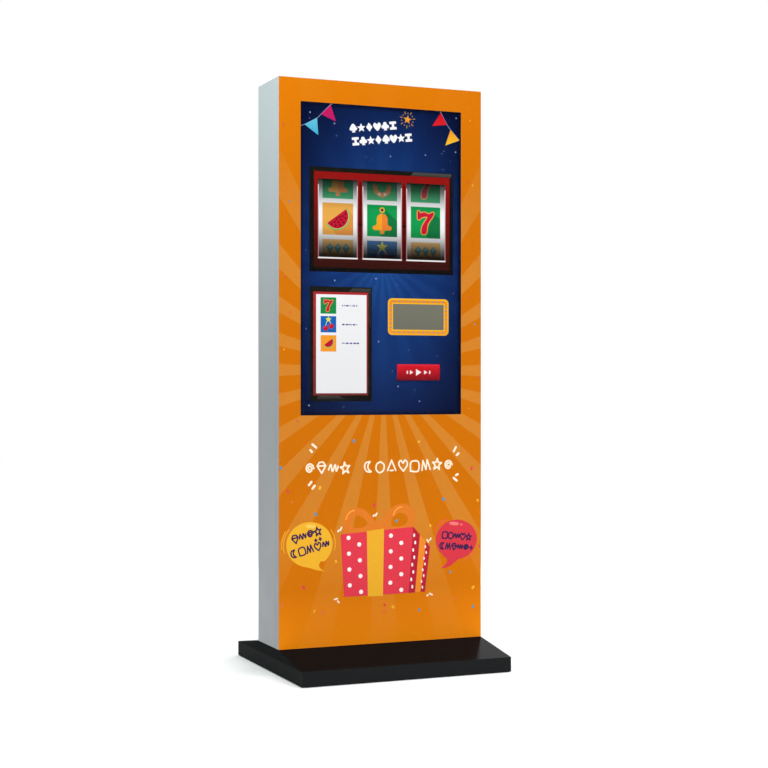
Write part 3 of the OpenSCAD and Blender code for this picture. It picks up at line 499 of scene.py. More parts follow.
def printed_wrap():
    def colour_of(paint):
        _, _, z = paint.axes()
        height = paint.span(z, WRAP_Z0 * MM, WRAP_Z1 * MM)
        # Painted light: the ground's orange is painted lighter at the foot, to lift the shade that the
        # plinth casts there, darkest low in the middle and lighter again towards the top.
        ground = paint.ramp(height, ((0.0, (254, 145, 14)), (0.045, (233, 130, 10)), (0.1, (209, 114, 5)),
                                     (0.3, (201, 109, 5)), (0.8, (207, 112, 5)), (1.0, (221, 121, 5))))
        bands = rays(paint, WRAP_BURST, count=24, share=0.42, fade_from=420, fade_to=860, least=0.07,
                     edge=0.03)
        return paint.mix(bands, ground, paint.mix(1.0, ground, (1.03, 1.36, 15.0, 1.0), "MULTIPLY"))

    return vinyl("printed_wrap", colour_of, 0.025)


def lcd_picture():
    def colour_of(paint):
        x, _, z = paint.axes()
        across = paint.math("DIVIDE", paint.math("SUBTRACT", x, SCREEN_BURST[0] * MM), GLOW_W * MM)
        up = paint.math("DIVIDE", paint.math("SUBTRACT", z, SCREEN_BURST[1] * MM), GLOW_H * MM)
        stops = ((0.0, (27, 73, 141)), (0.16, (24, 66, 131)), (0.42, (20, 54, 116)),
                 (0.73, (16, 49, 108)), (0.95, (13, 39, 92)), (1.2, (8, 27, 71)), (1.5, (3, 13, 50)))
        reach = stops[-1][0]
        far = paint.math("DIVIDE", paint.length(across, up), reach)
        ground = paint.ramp(far, [(at / reach, rgb) for at, rgb in stops])
        bands = rays(paint, SCREEN_BURST, count=24, share=0.5, fade_from=90, fade_to=560, least=0.15,
                     edge=0.4)
        lit = paint.mix(bands, ground, paint.mix(1.0, ground, (1.32, 1.25, 1.17, 1.0), "MULTIPLY"))
        # Painted shade: the picture darkens to a dark rim along its edges, as the inner shadow of the
        # recessed opening.
        off_x = paint.math("ABSOLUTE", x)
        off_z = paint.math("ABSOLUTE", paint.math("SUBTRACT", z, SCREEN_CZ * MM))
        near_x = paint.span(off_x, (PICTURE_W / 2 - 12) * MM, PICTURE_W / 2 * MM, smooth=True)
        near_z = paint.span(off_z, (PICTURE_H / 2 - 14) * MM, PICTURE_H / 2 * MM, smooth=True)
        rim = paint.math("MAXIMUM", near_x, near_z)
        return paint.mix(paint.math("MULTIPLY", rim, 0.8), lit, linear((3, 7, 28)))

    return light("lcd_picture", colour_of)


def powder_coat(name, rgb, roughness, grain=1100.0, depth=0.25):
    """Baked powder paint: an orange-peel skin and a faint change of tone."""
    paint = Finish(name)
    paint.set(Base_Color=paint.vary(linear(rgb), paint.noise(2.2, 3.0), 0.03))
    paint.roughen(paint.noise(9.0, 3.0), roughness - 0.05, roughness + 0.05)
    paint.bump(paint.noise(grain), depth, 0.0004)
    return paint.material


def plinth_paint():
    """Black powder coat with painted light: the low upright edges are painted a lighter black as their
    sheen, the sloped faces a darker one as shade.
    """
    paint = Finish("plinth_paint", Specular_IOR_Level=0.002)
    _, _, z = paint.axes()
    blend = 1.5 * MM
    # Painted light: 0 on the upright edges, painted lighter as a sheen, and 1 on the slopes, painted
    # darker as shade.
    painted_shade_slope = paint.span(z, PLINTH_EDGE_Z - blend, PLINTH_EDGE_Z + blend)
    ground = paint.mix(painted_shade_slope, linear((32, 33, 34)), linear((15, 16, 17)))
    paint.set(Base_Color=paint.vary(ground, paint.noise(7.0, 3.0), 0.08))
    paint.roughen(paint.noise(9.0, 3.0), 0.13, 0.21)
    paint.bump(paint.noise(900.0), 0.06, 0.0004)
    return paint.material


def sheet_metal(name, rgb, roughness, along=(1, 1, 40), spangle=0.0):
    """Rolled or plated steel: drawn lines along the sheet, and the cells of a zinc coat."""
    paint = Finish(name, metallic=0.9)
    lines = paint.noise(30.0, 4.0, stretch=along)
    colour = paint.vary(linear(rgb), lines, 0.10)
    if spangle:
        colour = paint.vary(colour, paint.cells(90.0), spangle)
    paint.set(Base_Color=colour)
    paint.roughen(lines, roughness - 0.08, roughness + 0.10)
    paint.bump(lines, 0.10, 0.0003)
    return paint.material


def moulded(name, rgb, roughness, grain=700.0, depth=0.3):
    """Moulded plastic or rubber with a spark-eroded skin."""
    paint = Finish(name)
    paint.set(Base_Color=paint.vary(linear(rgb), paint.noise(14.0, 4.0), 0.07))
    paint.roughen(paint.noise(40.0), roughness - 0.06, roughness + 0.06)
    paint.bump(paint.noise(grain, 3.0), depth, 0.0004)
    return paint.material


def clear_glass():
    paint = Finish("touch_glass", Transmission_Weight=1.0, IOR=1.08)
    smear = paint.noise(5.0, 5.0, stretch=(1, 1, 0.6))
    paint.set(Roughness=paint.span(smear, 0.45, 0.75, 0.004, 0.05))
    paint.set(Base_Color=paint.vary((0.985, 0.99, 0.99, 1.0), smear, 0.005))
    return paint.material


# The slots with no function of their own: coat, colour, roughness, and what differs from its defaults.
COATS = {
    "ballast_steel": (powder_coat, (52, 54, 57), 0.55, {"grain": 500.0, "depth": 0.5}),
    "zinc_steel": (sheet_metal, (190, 192, 196), 0.35, {"spangle": 0.12}),
    "foot_rubber": (moulded, (28, 28, 29), 0.75, {}),
    "cabinet_paint": (powder_coat, (137, 139, 143), 0.36, {}),
    "seal_rubber": (moulded, (18, 18, 19), 0.7, {}),
    "bezel_black": (moulded, (9, 9, 10), 0.4, {}),
    "light_guide": (moulded, (235, 237, 240), 0.3, {}),
    "chassis_steel": (sheet_metal, (172, 175, 178), 0.35, {"along": (40, 1, 1)}),
    "frame_paint": (powder_coat, (40, 42, 45), 0.5, {}),
    "anodised_black": (sheet_metal, (34, 35, 38), 0.42, {"along": (1, 40, 1)}),
    "pc_case": (powder_coat, (58, 61, 66), 0.45, {}),
    "supply_case": (sheet_metal, (198, 200, 202), 0.4, {"along": (40, 1, 1)}),
    "button_metal": (sheet_metal, (200, 202, 206), 0.25, {"along": (1, 1, 1)}),
    "breaker_white": (moulded, (226, 226, 220), 0.4, {}),
    "lever_blue": (moulded, (30, 84, 170), 0.35, {}),
    "terminal_grey": (moulded, (150, 153, 152), 0.5, {}),
    "module_black": (moulded, (26, 27, 29), 0.42, {}),
    "fan_black": (moulded, (22, 23, 24), 0.38, {}),
    "rocker_red": (moulded, (186, 22, 24), 0.28, {}),
    "cone_paper": (moulded, (44, 44, 46), 0.8, {"grain": 420.0, "depth": 0.6}),
    "lock_chrome": (sheet_metal, (205, 207, 210), 0.16, {"along": (1, 1, 1)}),
    "cable_jacket": (moulded, (24, 24, 26), 0.5, {}),
    "nylon_white": (moulded, (224, 224, 218), 0.5, {}),
}


def finishes():
    """One material for each slot of the record."""
    materials = {"plinth_paint": plinth_paint(), "printed_wrap": printed_wrap(),
                 "touch_glass": clear_glass(), "lcd_picture": lcd_picture()}
    for slot, (coat, rgb, roughness, more) in COATS.items():
        materials[slot] = coat(slot, rgb, roughness, **more)
    return materials


# Sheet metal and moulded edges are broken by this much, in metres, so that they catch the light.
EDGES = {"base_cover": 0.0008, "housing_shell": 0.0007, "front_panel": 0.0007, "foot": 0.0004,
         "default": 0.00025}
# These have no broken edges: swept cables, sheets full of vents, the glass, and skins with flat prints.
PLAIN = ("power_cables", "signal_cables", "rear_door", "rear_panel", "display_board_cover", "power_supply",
         "touch_glass", "display_cell", "front_wrap")


def dress_nodes():
    material_of = finishes()
    for part in frame["record"]["subparts"]:
        name = part["node"]
        node = frame["nodes"][name]
        node.data.materials.clear()
        node.data.materials.append(material_of[part["material_slot"]])
        if name in PLAIN:
            continue
        weld = node.modifiers.new("weld", "WELD")
        weld.merge_threshold = 0.000005
        bevel = node.modifiers.new("edges", "BEVEL")
        bevel.width = EDGES.get(name, EDGES["foot"] if name.startswith("foot") else EDGES["default"])
        bevel.segments = 2
        bevel.limit_method = "ANGLE"
        bevel.angle_limit = radians(50)
        bevel.harden_normals = True


# ---------- symbols of the game ----------
# The corners of a seven that fills a box 100 wide and 98 high.
SEVEN = [(0, 66), (0, 98), (10, 98), (16, 90), (42, 95), (70, 88), (100, 96), (96, 78), (64, 44),
         (56, 6), (34, 0), (24, 8), (30, 36), (62, 73), (46, 76), (24, 72), (12, 64)]


def seven(art, ink, level, cx, cz, height):
    corners = [(x - 50, z - 49) for x, z in SEVEN]
    shape = smooth(moved(corners, cx, cz, size=height / 98, stretch=0.74), 3, closed=True)
    art.stroke(ink((246, 158, 78)), level, shape + shape[:1], 0.085 * height)
    art.plate(ink((206, 28, 58)), level + 1, shape)


def melon(art, ink, level, cx, cz, radius):
    tilt = 36
    slices = (((128, 204, 74), 1.14), ((236, 196, 170), 1.04), ((202, 24, 52), 1.0))
    for up, (rgb, grow) in enumerate(slices):
        art.plate(ink(rgb), level + up, arc(cx, cz, radius * grow, tilt + 180, tilt + 360))
    seeds = ((0.78, (200, 228, 256, 284, 312, 340)), (0.5, (215, 252, 288, 325)), (0.24, (235, 305)))
    for reach, turns in seeds:
        for turn in turns:
            seed = disc(0, 0, radius * 0.06, radius * 0.10, 10)
            place = polar(cx, cz, radius * reach, turn + tilt)
            art.plate(ink((70, 12, 26)), level + 3, moved(seed, *place, turn=turn + tilt + 90))


def bell(art, ink, level, cx, cz):
    """The bell's middle is at cx, and cz is the middle of its card."""
    for side, colour in ((-1, (251, 167, 42)), (1, (245, 132, 50))):
        outline = [(0, 22)] + arc(0, 4, 18, 90, 90 - 90 * side, 8)
        outline += [(side * 18, -10), (side * 24, -17), (0, -17)]
        art.plate(ink(colour), level + 1, moved(outline, cx, cz))
        rim = [(0, -16), (side * 28, -16), (side * 31, -19), (side * 31, -25), (side * 28, -29), (0, -29)]
        art.plate(ink(colour), level + 2, moved(rim, cx, cz))
    top = cz + 33
    art.plate(ink((252, 176, 50)), level + 2, disc(cx, top, 8.5), disc(cx, top, 4.4))
    art.plate(ink((24, 36, 92)), level + 1, disc(cx, top, 5.2))
    art.plate(ink((238, 138, 56)), level + 1, moved(rounded(-7, -41, 7, -26, 5), cx, cz))


def cherries(art, ink, level, cx, cz, size):
    """Two cherries on stems under a star-shaped leaf."""
    for side, drop in ((-1, -20), (1, -8)):
        fruit = (cx + side * 17 * size, cz + drop * size)
        stem = smooth([(cx, cz + 26 * size), (cx + side * 11 * size, cz + 12 * size),
                       (fruit[0], fruit[1] + 9 * size)], 5)
        art.stroke(ink((222, 222, 196)), level, stem, 3.4 * size)
        art.plate(ink((206, 20, 40)), level + 1, disc(*fruit, 14 * size))
        shine = disc(fruit[0] - 4.5 * size, fruit[1] + 5 * size, 3.2 * size)
        art.plate(ink((240, 96, 96)), level + 2, shine)
    art.plate(ink((226, 232, 70)), level + 2, star(cx, cz + 28 * size, 19 * size))


def horseshoe(art, ink, level, cx, cz):
    band = arc(cx, cz, 30, -200, 20, 24) + arc(cx, cz, 16, 20, -200, 24)
    art.plate(ink((236, 132, 54)), level, band)
    for side in (-1, 1):
        hole = disc(*polar(cx, cz, 23, -90 + side * 24), 4.6, steps=16)
        art.plate(ink((236, 236, 230)), level + 1, hole)


def gems(art, ink, level, cx, cz):
    for dx in (-26, 0, 26):
        gem = [(0, 17), (12, 4), (0, -17), (-12, 4)]
        art.plate(ink((60, 128, 128)), level, moved(gem, cx + dx, cz))
        glint = [(0, 13), (6, 5), (0, 1), (-6, 5)]
        art.plate(ink((110, 176, 170)), level + 1, moved(glint, cx + dx, cz))


# ---------- the picture on the display ----------
def reel_ink(rgb):
    return glow(rgb, reel=True)


def reel_contents():
    """The paper strips behind the three windows, with a whole card in the middle of each."""
    art = screen_art("screen_reels")
    half_h, half_w = CARD_H / 2, CARD_W / 2
    # Each strip's middle card and its symbol, then the card above and the card below.
    strips = (("tan", "melon", "green", "bell", "tan", "gems"),
              ("green", "bell", "green", "shoe", "blue", "cherries"),
              ("green", "seven", "green", "seven", "tan", "gems"))
    colours = {"tan": (240, 175, 80), "green": (20, 160, 82), "blue": (26, 92, 168)}
    draw = {"melon": lambda x, z: melon(art, reel_ink, 4, x - 4, z + 9, 38),
            "bell": lambda x, z: bell(art, reel_ink, 4, x, z),
            "shoe": lambda x, z: horseshoe(art, reel_ink, 4, x, z - 8),
            "seven": lambda x, z: seven(art, reel_ink, 4, x, z - 1, 70),
            "cherries": lambda x, z: cherries(art, reel_ink, 4, x, z + 2, 1.0),
            "gems": lambda x, z: gems(art, reel_ink, 4, x, z + 20)}
    shadow = {"bell": [(9, 36), (50, 0), (50, -half_h), (-4, -half_h), (-4, -40), (20, -29)],
              "seven": [(28, 30), (50, 10), (50, -half_h), (6, -half_h), (2, -34)],
              "melon": [(38, 24), (50, 12), (50, -half_h), (-2, -half_h), (-34, -18)]}
    darker = {"tan": (232, 152, 72), "green": (20, 122, 66), "blue": (24, 66, 130)}
    for (x0, x1), cx, strip in zip(WINDOWS, CARDS_X, strips):
        paper = rect(x0 - 2, REEL_Z0 - 2, x1 + 2, REEL_Z1 + 2)
        art.plate(reel_ink((252, 251, 253)), 1, paper)
        for step, (card, symbol) in zip((0, 1, -1), zip(strip[::2], strip[1::2])):
            cz = CARD_Z + step * CARD_PITCH
            z0, z1 = max(cz - half_h, REEL_Z0 - 8), min(cz + half_h, REEL_Z1 + 8)
            art.plate(reel_ink(colours[card]), 2, rect(cx - half_w, z0, cx + half_w, z1))
            if step == 0:
                art.plate(reel_ink(darker[card]), 3, [(cx + dx, cz + dz) for dx, dz in shadow[symbol]])
            draw[symbol](cx, cz)
    art.finish()


def reel_frame():
    art = screen_art("screen_reel_frame")
    black = glow((23, 23, 16), low=(14, 14, 12), span=(1216, 1527))
    inner = [rect(x0, REEL_Z0, x1, REEL_Z1) for x0, x1 in WINDOWS]
    opening = rect(-221, 1226.5, 230, 1516.5)
    art.plate(black, 8, rect(-236, 1213, 242, 1530), opening)
    gloss = glow((74, 74, 70), low=(56, 56, 52), span=(1516, 1527))
    art.plate(gloss, 9, [(98, 1517.5), (236, 1517.5), (236, 1528.5), (106, 1528.5)])
    red = glow((148, 20, 18), low=(56, 18, 14), span=(1240, 1500))
    art.plate(red, 7, opening, *inner)
    light_side, bar = glow((236, 226, 228), low=(176, 112, 112), span=(1262, 1486)), 2.6
    for x0, x1 in WINDOWS:
        for x in (x0, x1 - bar):
            art.plate(light_side, 8, rect(x, REEL_Z0, x + bar, REEL_Z1 - 18))
        art.plate(glow((238, 236, 236)), 9, rect(x0, REEL_Z0, x1, REEL_Z0 + 4.5))
    for a, b in zip(WINDOWS, WINDOWS[1:]):
        cx = (a[1] + b[0]) / 2
        art.plate(glow((86, 12, 14), low=(40, 8, 8), span=(1253, 1494)), 8,
                  rect(cx - bar, REEL_Z0 + 5, cx + bar, REEL_Z1 - 4))
        art.plate(glow((40, 6, 8)), 9, star(cx, 1360, 9, inner=0.42, points=4))
    art.finish()


def pay_table():
    art = screen_art("screen_pay_table")
    art.plate(glow((26, 26, 20), low=(18, 18, 16), span=(824, 1166)), 1, rect(-235, 820, -31.8, 1168))
    gloss = glow((66, 66, 64), low=(40, 40, 38), span=(1148, 1164))
    art.plate(gloss, 2, [(-110, 1153), (-36, 1153), (-36, 1164), (-96, 1164)])
    art.plate(gloss, 2, [(-44, 1153), (-36, 1153), (-36, 1040), (-44, 1070)])
    art.plate(glow((62, 62, 60), low=(34, 34, 32), span=(826, 838)), 2,
              [(-214, 826), (-120, 826), (-140, 837), (-206, 837)])
    art.plate(glow((178, 44, 48), low=(116, 44, 42), span=(838, 1152)), 3, rect(-223, 838, -44.3, 1152))
    paper = glow((246, 246, 248), low=(236, 236, 238), span=(844, 1144))
    art.plate(paper, 4, rect(-214, 844.7, -49.7, 1144.4))
    width, height, x0 = 50.6, 49.5, -199.6
    icons = ((1135.3, (24, 142, 72), lambda x, z: seven(art, glow, 6, x, z, 36)),
             (1078.5, (24, 100, 184), lambda x, z: cherries(art, glow, 6, x, z - 1, 0.55)),
             (1020.5, (246, 158, 46), lambda x, z: melon(art, glow, 6, x - 1, z + 5, 16.5)))
    for z1, card, draw in icons:
        art.plate(glow(card), 5, rect(x0, z1 - height, x0 + width, z1))
        draw(x0 + width / 2, z1 - height / 2)
    dots = random.Random(3)
    for z in (1111, 1053.5, 996.7):
        x = -130.0
        while x < -80:
            width = dots.choice((2.4, 3.6, 5.6, 8.0))
            art.plate(glow((38, 56, 140)), 5, rounded(x, z - 2.2, x + width, z + 2.2, 1.1, 3))
            x += width + dots.choice((1.6, 2.2, 4.0))
    art.finish()


def marquee():
    art = screen_art("screen_marquee")
    x0, z0, x1, z1 = 21.4, 1023.7, 227.1, 1137.0
    art.plate(glow((250, 192, 34), low=(244, 178, 34), span=(z0, z1)), 1, rounded(x0, z0, x1, z1, 14, 8))
    art.plate(glow((246, 142, 40), low=(250, 154, 44), span=(z0, z1)), 2,
              rounded(x0 + 5, z0 + 5, x1 - 5, z1 - 5, 10, 8))
    inset = 13.4
    art.plate(glow((250, 192, 34)), 3, rect(x0 + inset, z0 + inset, x1 - inset, z1 - inset))
    inner = inset + 3.6
    art.plate(glow((122, 122, 108), low=(112, 112, 100), span=(z0, z1)), 4,
              rect(x0 + inner, z0 + inner, x1 - inner, z1 - inner))
    bulb, shine = glow((128, 134, 138)), glow((206, 208, 206))
    edge, across, up = 9.2, 11, 6
    step_x, step_z = (x1 - x0 - 40) / (across - 1), (z1 - z0 - 48) / (up - 1)
    places = [(x0 + 20 + step_x * i, z) for i in range(across) for z in (z0 + edge, z1 - edge)]
    places += [(x, z0 + 24 + step_z * i) for i in range(up) for x in (x0 + edge, x1 - edge)]
    for x, z in places:
        art.plate(bulb, 3, disc(x, z, 2.9, steps=14))
        art.plate(shine, 4, disc(x - 0.7, z + 0.7, 1.1, steps=8))
    art.finish()


def play_button():
    art = screen_art("screen_play_button")
    x0, z0, x1, z1 = 52.0, 884.0, 197.0, 933.7
    art.plate(glow((12, 22, 60)), 1, rounded(x0 - 1.5, z0 - 3.5, x1 + 1.5, z1, 3))
    art.plate(glow((220, 24, 40), low=(120, 18, 26), span=(z0, z1 - 4)), 2, rounded(x0, z0, x1, z1, 2.5))
    art.plate(glow((240, 60, 74)), 3, rounded(x0 + 2, z1 - 3, x1 - 2, z1 - 1.4, 0.7))
    white, cx, cz = glow((248, 240, 240)), (x0 + x1) / 2, (z0 + z1) / 2
    for dx, size in ((-24, 0.62), (0, 1.0), (24, 0.62)):
        play = [(-8.5, -10.5), (9.5, 0), (-8.5, 10.5)]
        art.plate(white, 3, moved(play, cx + dx, cz, size=size))
    for side in (-1, 1):
        art.plate(white, 3, rounded(cx + side * 38 - 2, cz - 5, cx + side * 38 + 2, cz + 5, 1.8, 4))
    art.finish()


def bunting():
    """Two strings of paper flags in the upper corners, each flag with its colours and its corners."""
    art = screen_art("screen_bunting")
    string = glow((132, 150, 186))
    left = [(-264, 1651), (-251, 1655), (-211, 1677), (-198, 1689), (-167, 1720), (-163, 1720.8)]
    right = [(200.5, 1720.8), (201, 1719), (222, 1683), (234, 1668), (264, 1637)]
    for line in (left, right):
        art.stroke(string, 2, smooth(line, 4), 1.8)
    flags = (((108, 202, 230), (64, 178, 216), [(-251, 1655), (-207, 1625), (-211, 1677)]),
             ((214, 24, 92), (190, 30, 110), [(-198, 1689), (-150, 1670), (-167, 1719)]),
             ((206, 24, 34), (226, 30, 40), [(171, 1676), (222, 1683), (201, 1719)]),
             ((244, 150, 40), (252, 200, 46), [(216, 1618), (264, 1636), (234, 1668)]))
    for high, low, corners in flags:
        heights = [z for _, z in corners]
        art.plate(glow(high, low=low, span=(min(heights), max(heights))), 3, corners)
    art.finish()


# Small white signs that stand where the game's name would be. Each is about 2 units across.
SIGNS = {
    "diamond": [[(0, 1.05), (0.8, 0), (0, -1.05), (-0.8, 0)]],
    "star": [star(0, -0.05, 1.08, 0.46)],
    "bar": [rounded(-0.85, -0.95, 0.85, -0.35, 0.12, 3), rounded(-0.85, 0.35, 0.85, 0.95, 0.12, 3),
            rect(-0.3, -0.4, 0.3, 0.4)],
    "heart": [smooth([(0, -1.0), (0.85, -0.1), (0.95, 0.5), (0.5, 0.95), (0, 0.55), (-0.5, 0.95),
                      (-0.95, 0.5), (-0.85, -0.1)], 5, closed=True)],
    "club": [disc(0, 0.5, 0.46, steps=18), disc(-0.5, -0.15, 0.46, steps=18),
             disc(0.5, -0.15, 0.46, steps=18), [(-0.12, 0.2), (-0.4, -1.0), (0.4, -1.0), (0.12, 0.2)]],
    "spade": [smooth([(0, 1.05), (0.85, 0.1), (0.9, -0.35), (0.45, -0.6), (0.05, -0.3), (-0.05, -0.3),
                      (-0.45, -0.6), (-0.9, -0.35), (-0.85, 0.1)], 5, closed=True),
              [(-0.1, 0.0), (-0.42, -1.0), (0.42, -1.0), (0.1, 0.0)]],
}


def title():
    """Two tilted rows of white card and reel signs, and a gold star with short rays."""
    art = screen_art("screen_title")
    white, shade = glow((250, 251, 255)), glow((14, 26, 70))
    tilt, size = 7.0, 13.2
    rows = (((-27.5, 1661), 159, ("spade", "star", "diamond", "heart", "club", "bar")),
            ((2.5, 1624), 203, ("bar", "club", "star", "diamond", "spade", "heart", "star", "bar")))
    for (cx, cz), width, kinds in rows:
        pitch = width / len(kinds)
        for i, kind in enumerate(kinds):
            along = (i + 0.5) * pitch - width / 2
            x, z = moved([(along, 0)], cx, cz, tilt)[0]
            for outline in SIGNS[kind]:
                art.plate(shade, 2, moved(outline, x + 1.2, z - 1.4, tilt, size))
                art.plate(white, 3, moved(outline, x, z, tilt, size))
    gold = glow((250, 182, 40), low=(244, 140, 40), span=(1678, 1702))
    star_x, star_z, spikes = 87, 1690, 14
    art.plate(gold, 3, star(star_x, star_z, 14, 0.44, turn=82))
    for i in range(spikes):
        reach = (18.5, 21 if i % 2 else 26)
        line = [polar(star_x, star_z, r, 360 / spikes * i + 8) for r in reach]
        art.stroke(glow((232, 178, 50)), 2, line, 1.5)
    art.finish()


def specks():
    """Faint lights scattered over the picture, clear of the boxes."""
    art = screen_art("screen_specks")
    pick = random.Random(11)
    boxes = ((-240, 1208, 248, 1535), (-240, 816, -24, 1174), (14, 1016, 235, 1145), (46, 878, 203, 940),
             (-125, 1585, 125, 1715))
    pale = (glow((150, 168, 205)), glow((96, 118, 172)))
    for _ in range(75):
        x = pick.uniform(-PICTURE_W / 2 + 10, PICTURE_W / 2 - 10)
        z = SCREEN_CZ + pick.uniform(-PICTURE_H / 2 + 12, PICTURE_H / 2 - 12)
        r = pick.uniform(1.4, 2.5)
        if not any(x0 < x < x1 and z0 < z < z1 for x0, z0, x1, z1 in boxes):
            art.plate(pale[r < 2.0], 1, disc(x, z, r, steps=10))
    art.finish()


# ---------- the printed front ----------
CREAM = (250, 232, 205)


def ticks(art, ink, places, length, width):
    """Short pen marks, each at a place and an angle."""
    for x, z, turn, size in places:
        line = moved([(-0.5, 0), (0.5, 0)], x, z, turn, length * size)
        art.stroke(ink, 2, line, width)


# Hand-drawn lines, in a box from -1 to 1 across and up.
COIL = [(0.85 * (1 - t / 26), t * 0.55) for t in range(22)]
STAR = star(0, -0.05, 1.0, 0.42, turn=92)
DOODLES = {
    "spiral": [[(r * cos(a), r * sin(a)) for r, a in COIL]],
    "box": [smooth([(-0.8, -0.85), (0.85, -0.75), (0.75, 0.8), (-0.75, 0.7), (-0.82, -0.6)], 4)],
    "zigzag": [[(-0.9, -0.8), (-0.5, 0.8), (-0.05, -0.75), (0.4, 0.85), (0.85, -0.8)]],
    "heart": [smooth([(0, -0.95), (0.8, -0.1), (0.85, 0.55), (0.4, 0.85), (0, 0.4), (-0.45, 0.85),
                      (-0.85, 0.5), (-0.75, -0.1), (0.02, -0.95)], 5)],
    "star": [STAR + STAR[:1]],
    "ring": [smooth([(0.05, 0.9), (-0.7, 0.5), (-0.8, -0.4), (-0.1, -0.9), (0.7, -0.5), (0.8, 0.4),
                     (0.1, 0.88)], 6)],
    "wave": [smooth([(-0.95, -0.3), (-0.55, 0.6), (-0.15, -0.5), (0.3, 0.6), (0.65, -0.4),
                     (0.95, 0.4)], 6)],
    "peak": [[(-0.85, -0.8), (0.0, 0.9), (0.85, -0.8)], [(-0.3, -0.8), (0.3, -0.8)]],
    "gem": [[(0, -0.95), (-0.85, 0.25), (-0.4, 0.85), (0.4, 0.85), (0.85, 0.25), (0, -0.95)],
            [(-0.8, 0.25), (0.8, 0.25)]],
    "moon": [smooth([(0.4, 0.85), (-0.5, 0.7), (-0.8, 0.0), (-0.45, -0.7), (0.45, -0.85),
                     (0.0, -0.45), (-0.15, 0.05), (0.05, 0.5), (0.42, 0.84)], 5)],
    "cross": [[(-0.7, 0), (0.7, 0)], [(0, 0.75), (0, -0.75)]],
}


def doodle(art, ink, kind, x, z, size, width, turn=0.0, level=2):
    for line in DOODLES[kind]:
        art.stroke(ink, level, moved(line, x, z, turn, size, stretch=0.86), width)


def wrap_title():
    """A hand-drawn row of signs where the front's heading would be, with pen ticks at its corners."""
    art = wrap_art("wrap_title")
    ink = print_ink(CREAM)
    row = ("spiral", "gem", "wave", "star", None, "moon", "ring", "peak", "heart", "box", "zigzag", "star",
           "spiral")
    x0, x1, size, width = -238.0, 222.0, 18.5, 5.0
    pitch = (x1 - x0) / (len(row) - 1)
    for i, kind in enumerate(row):
        # The row rises to the right, with a hand's wobble in height and turn.
        if kind:
            z = 618 + 0.008 * i * pitch + 2.5 * sin(i * 1.9)
            doodle(art, ink, kind, x0 + i * pitch, z, size, width, 6 * sin(i * 2.7))
    marks = ((-223, 686, -38, 1.0), (-233, 671, -48, 0.5), (245, 669, 62, 1.0), (254.5, 653, 40, 0.55),
             (-236, 573, 50, 0.85), (-225, 562, 50, 0.75), (252, 589, 28, 0.45), (246, 575, -38, 0.95))
    ticks(art, ink, marks, 15, 7.0)
    art.finish()


def gift():
    art = wrap_art("wrap_gift")
    bow = print_ink((220, 121, 40))
    loops = [(-112, 412), (-128, 455), (-122, 482), (-92, 496), (-60, 489), (-38, 468), (-19, 451),
             (-2, 458), (16, 481), (46, 500), (78, 502), (104, 482), (108, 452), (92, 412), (0, 400)]
    left_eye = [(-100, 438), (-102, 458), (-86, 472), (-64, 463), (-50, 445), (-72, 434)]
    right_eye = [(22, 440), (34, 461), (56, 475), (77, 470), (84, 452), (70, 437), (44, 434)]
    art.plate(bow, 1, smooth(loops, 5, True), smooth(left_eye, 5, True), smooth(right_eye, 5, True))
    shine = print_ink((243, 160, 62))
    for cx, cz, start in ((-90, 458, 96), (66, 464, 92)):
        art.stroke(shine, 2, arc(cx, cz, 30, start, start + 78, 10), 4.5)
    crimson, dark = print_ink((222, 60, 76)), print_ink((181, 36, 56))
    art.plate(dark, 2, [(103, 431.2), (125.7, 406.7), (108.9, 227.9), (87.2, 227.4)])
    art.plate(print_ink((236, 137, 44)), 1, [(125.7, 406.7), (145.3, 384), (127.1, 229), (108.9, 227.9)])
    art.plate(dark, 2, [(145.3, 384), (159.8, 368), (142.5, 228.8), (127.1, 229)])
    art.plate(crimson, 3, [(-138, 416.3), (103, 431.2), (87.2, 227.4), (-126.7, 226)])
    art.plate(print_ink((233, 171, 46)), 4, [(-52, 423.4), (4.7, 428.8), (1.2, 222.3), (-48.5, 223.6)])
    white = print_ink((252, 240, 238))
    for top_x, top_z, drift in ((-112, 405, 1.3), (-77, 383.5, 2.0), (28, 406.6, -0.7), (62.5, 383, 0.0)):
        for i in range(4):
            art.plate(white, 5, disc(top_x + drift * i, top_z - 48.2 * i, 6.6, steps=18))
    for x0, z0, x1, z1, size in ((108.6, 405, 97, 246, 4.0), (146.5, 368, 131, 243, 3.2)):
        for i in range(8):
            x = x0 + (x1 - x0) * i / 7 + (2.6 if i % 2 else -2.6)
            z = z0 + (z1 - z0) * i / 7
            art.plate(white, 4, disc(x, z, size * 0.75, size * 1.45, 14))
    ink = print_ink(CREAM)
    marks = ((-137, 433, 62, 0.8), (-145, 427, 52, 0.4), (-21, 473, 58, 0.7), (-29, 470, 50, 0.4),
             (152, 386, 126, 0.7), (161, 391, 60, 0.5), (-153, 221, 14, 0.8), (-145, 212, -50, 0.5),
             (151, 217, 50, 0.35), (163, 220, -28, 0.8))
    ticks(art, ink, marks, 12, 5.0)
    art.finish()


def bubble(name, middle, radii, span, tail, rgb, accents, turn, rows):
    """A speech bubble: an ellipse that runs into a tail, arcs beside it and rows of signs in it."""
    art = wrap_art(name)
    (cx, cz), (rx, rz) = middle, radii
    rim = arc(cx, cz, rx, span[0], span[1], 48, rz)
    art.plate(print_ink(rgb), 2, rim + tail)
    line = print_ink(accents["line"])
    for grow, start, end in accents["arcs"]:
        art.stroke(line, 1, arc(cx, cz, rx + grow, start, end, 12, rz + grow), 3.4)
    shine = print_ink(accents["shine"])
    for dx, dz, half_w, half_h in accents["glints"]:
        art.plate(shine, 3, moved(disc(0, 0, half_w, half_h), cx + dx, cz + dz, -6))
    ink = print_ink((58, 36, 78))
    for kinds, dx, dz, step_x, step_z, size in rows:
        for i, kind in enumerate(kinds):
            doodle(art, ink, kind, cx + dx + step_x * i, cz + dz + step_z * i, size, 4.4, turn, level=4)
    art.finish()


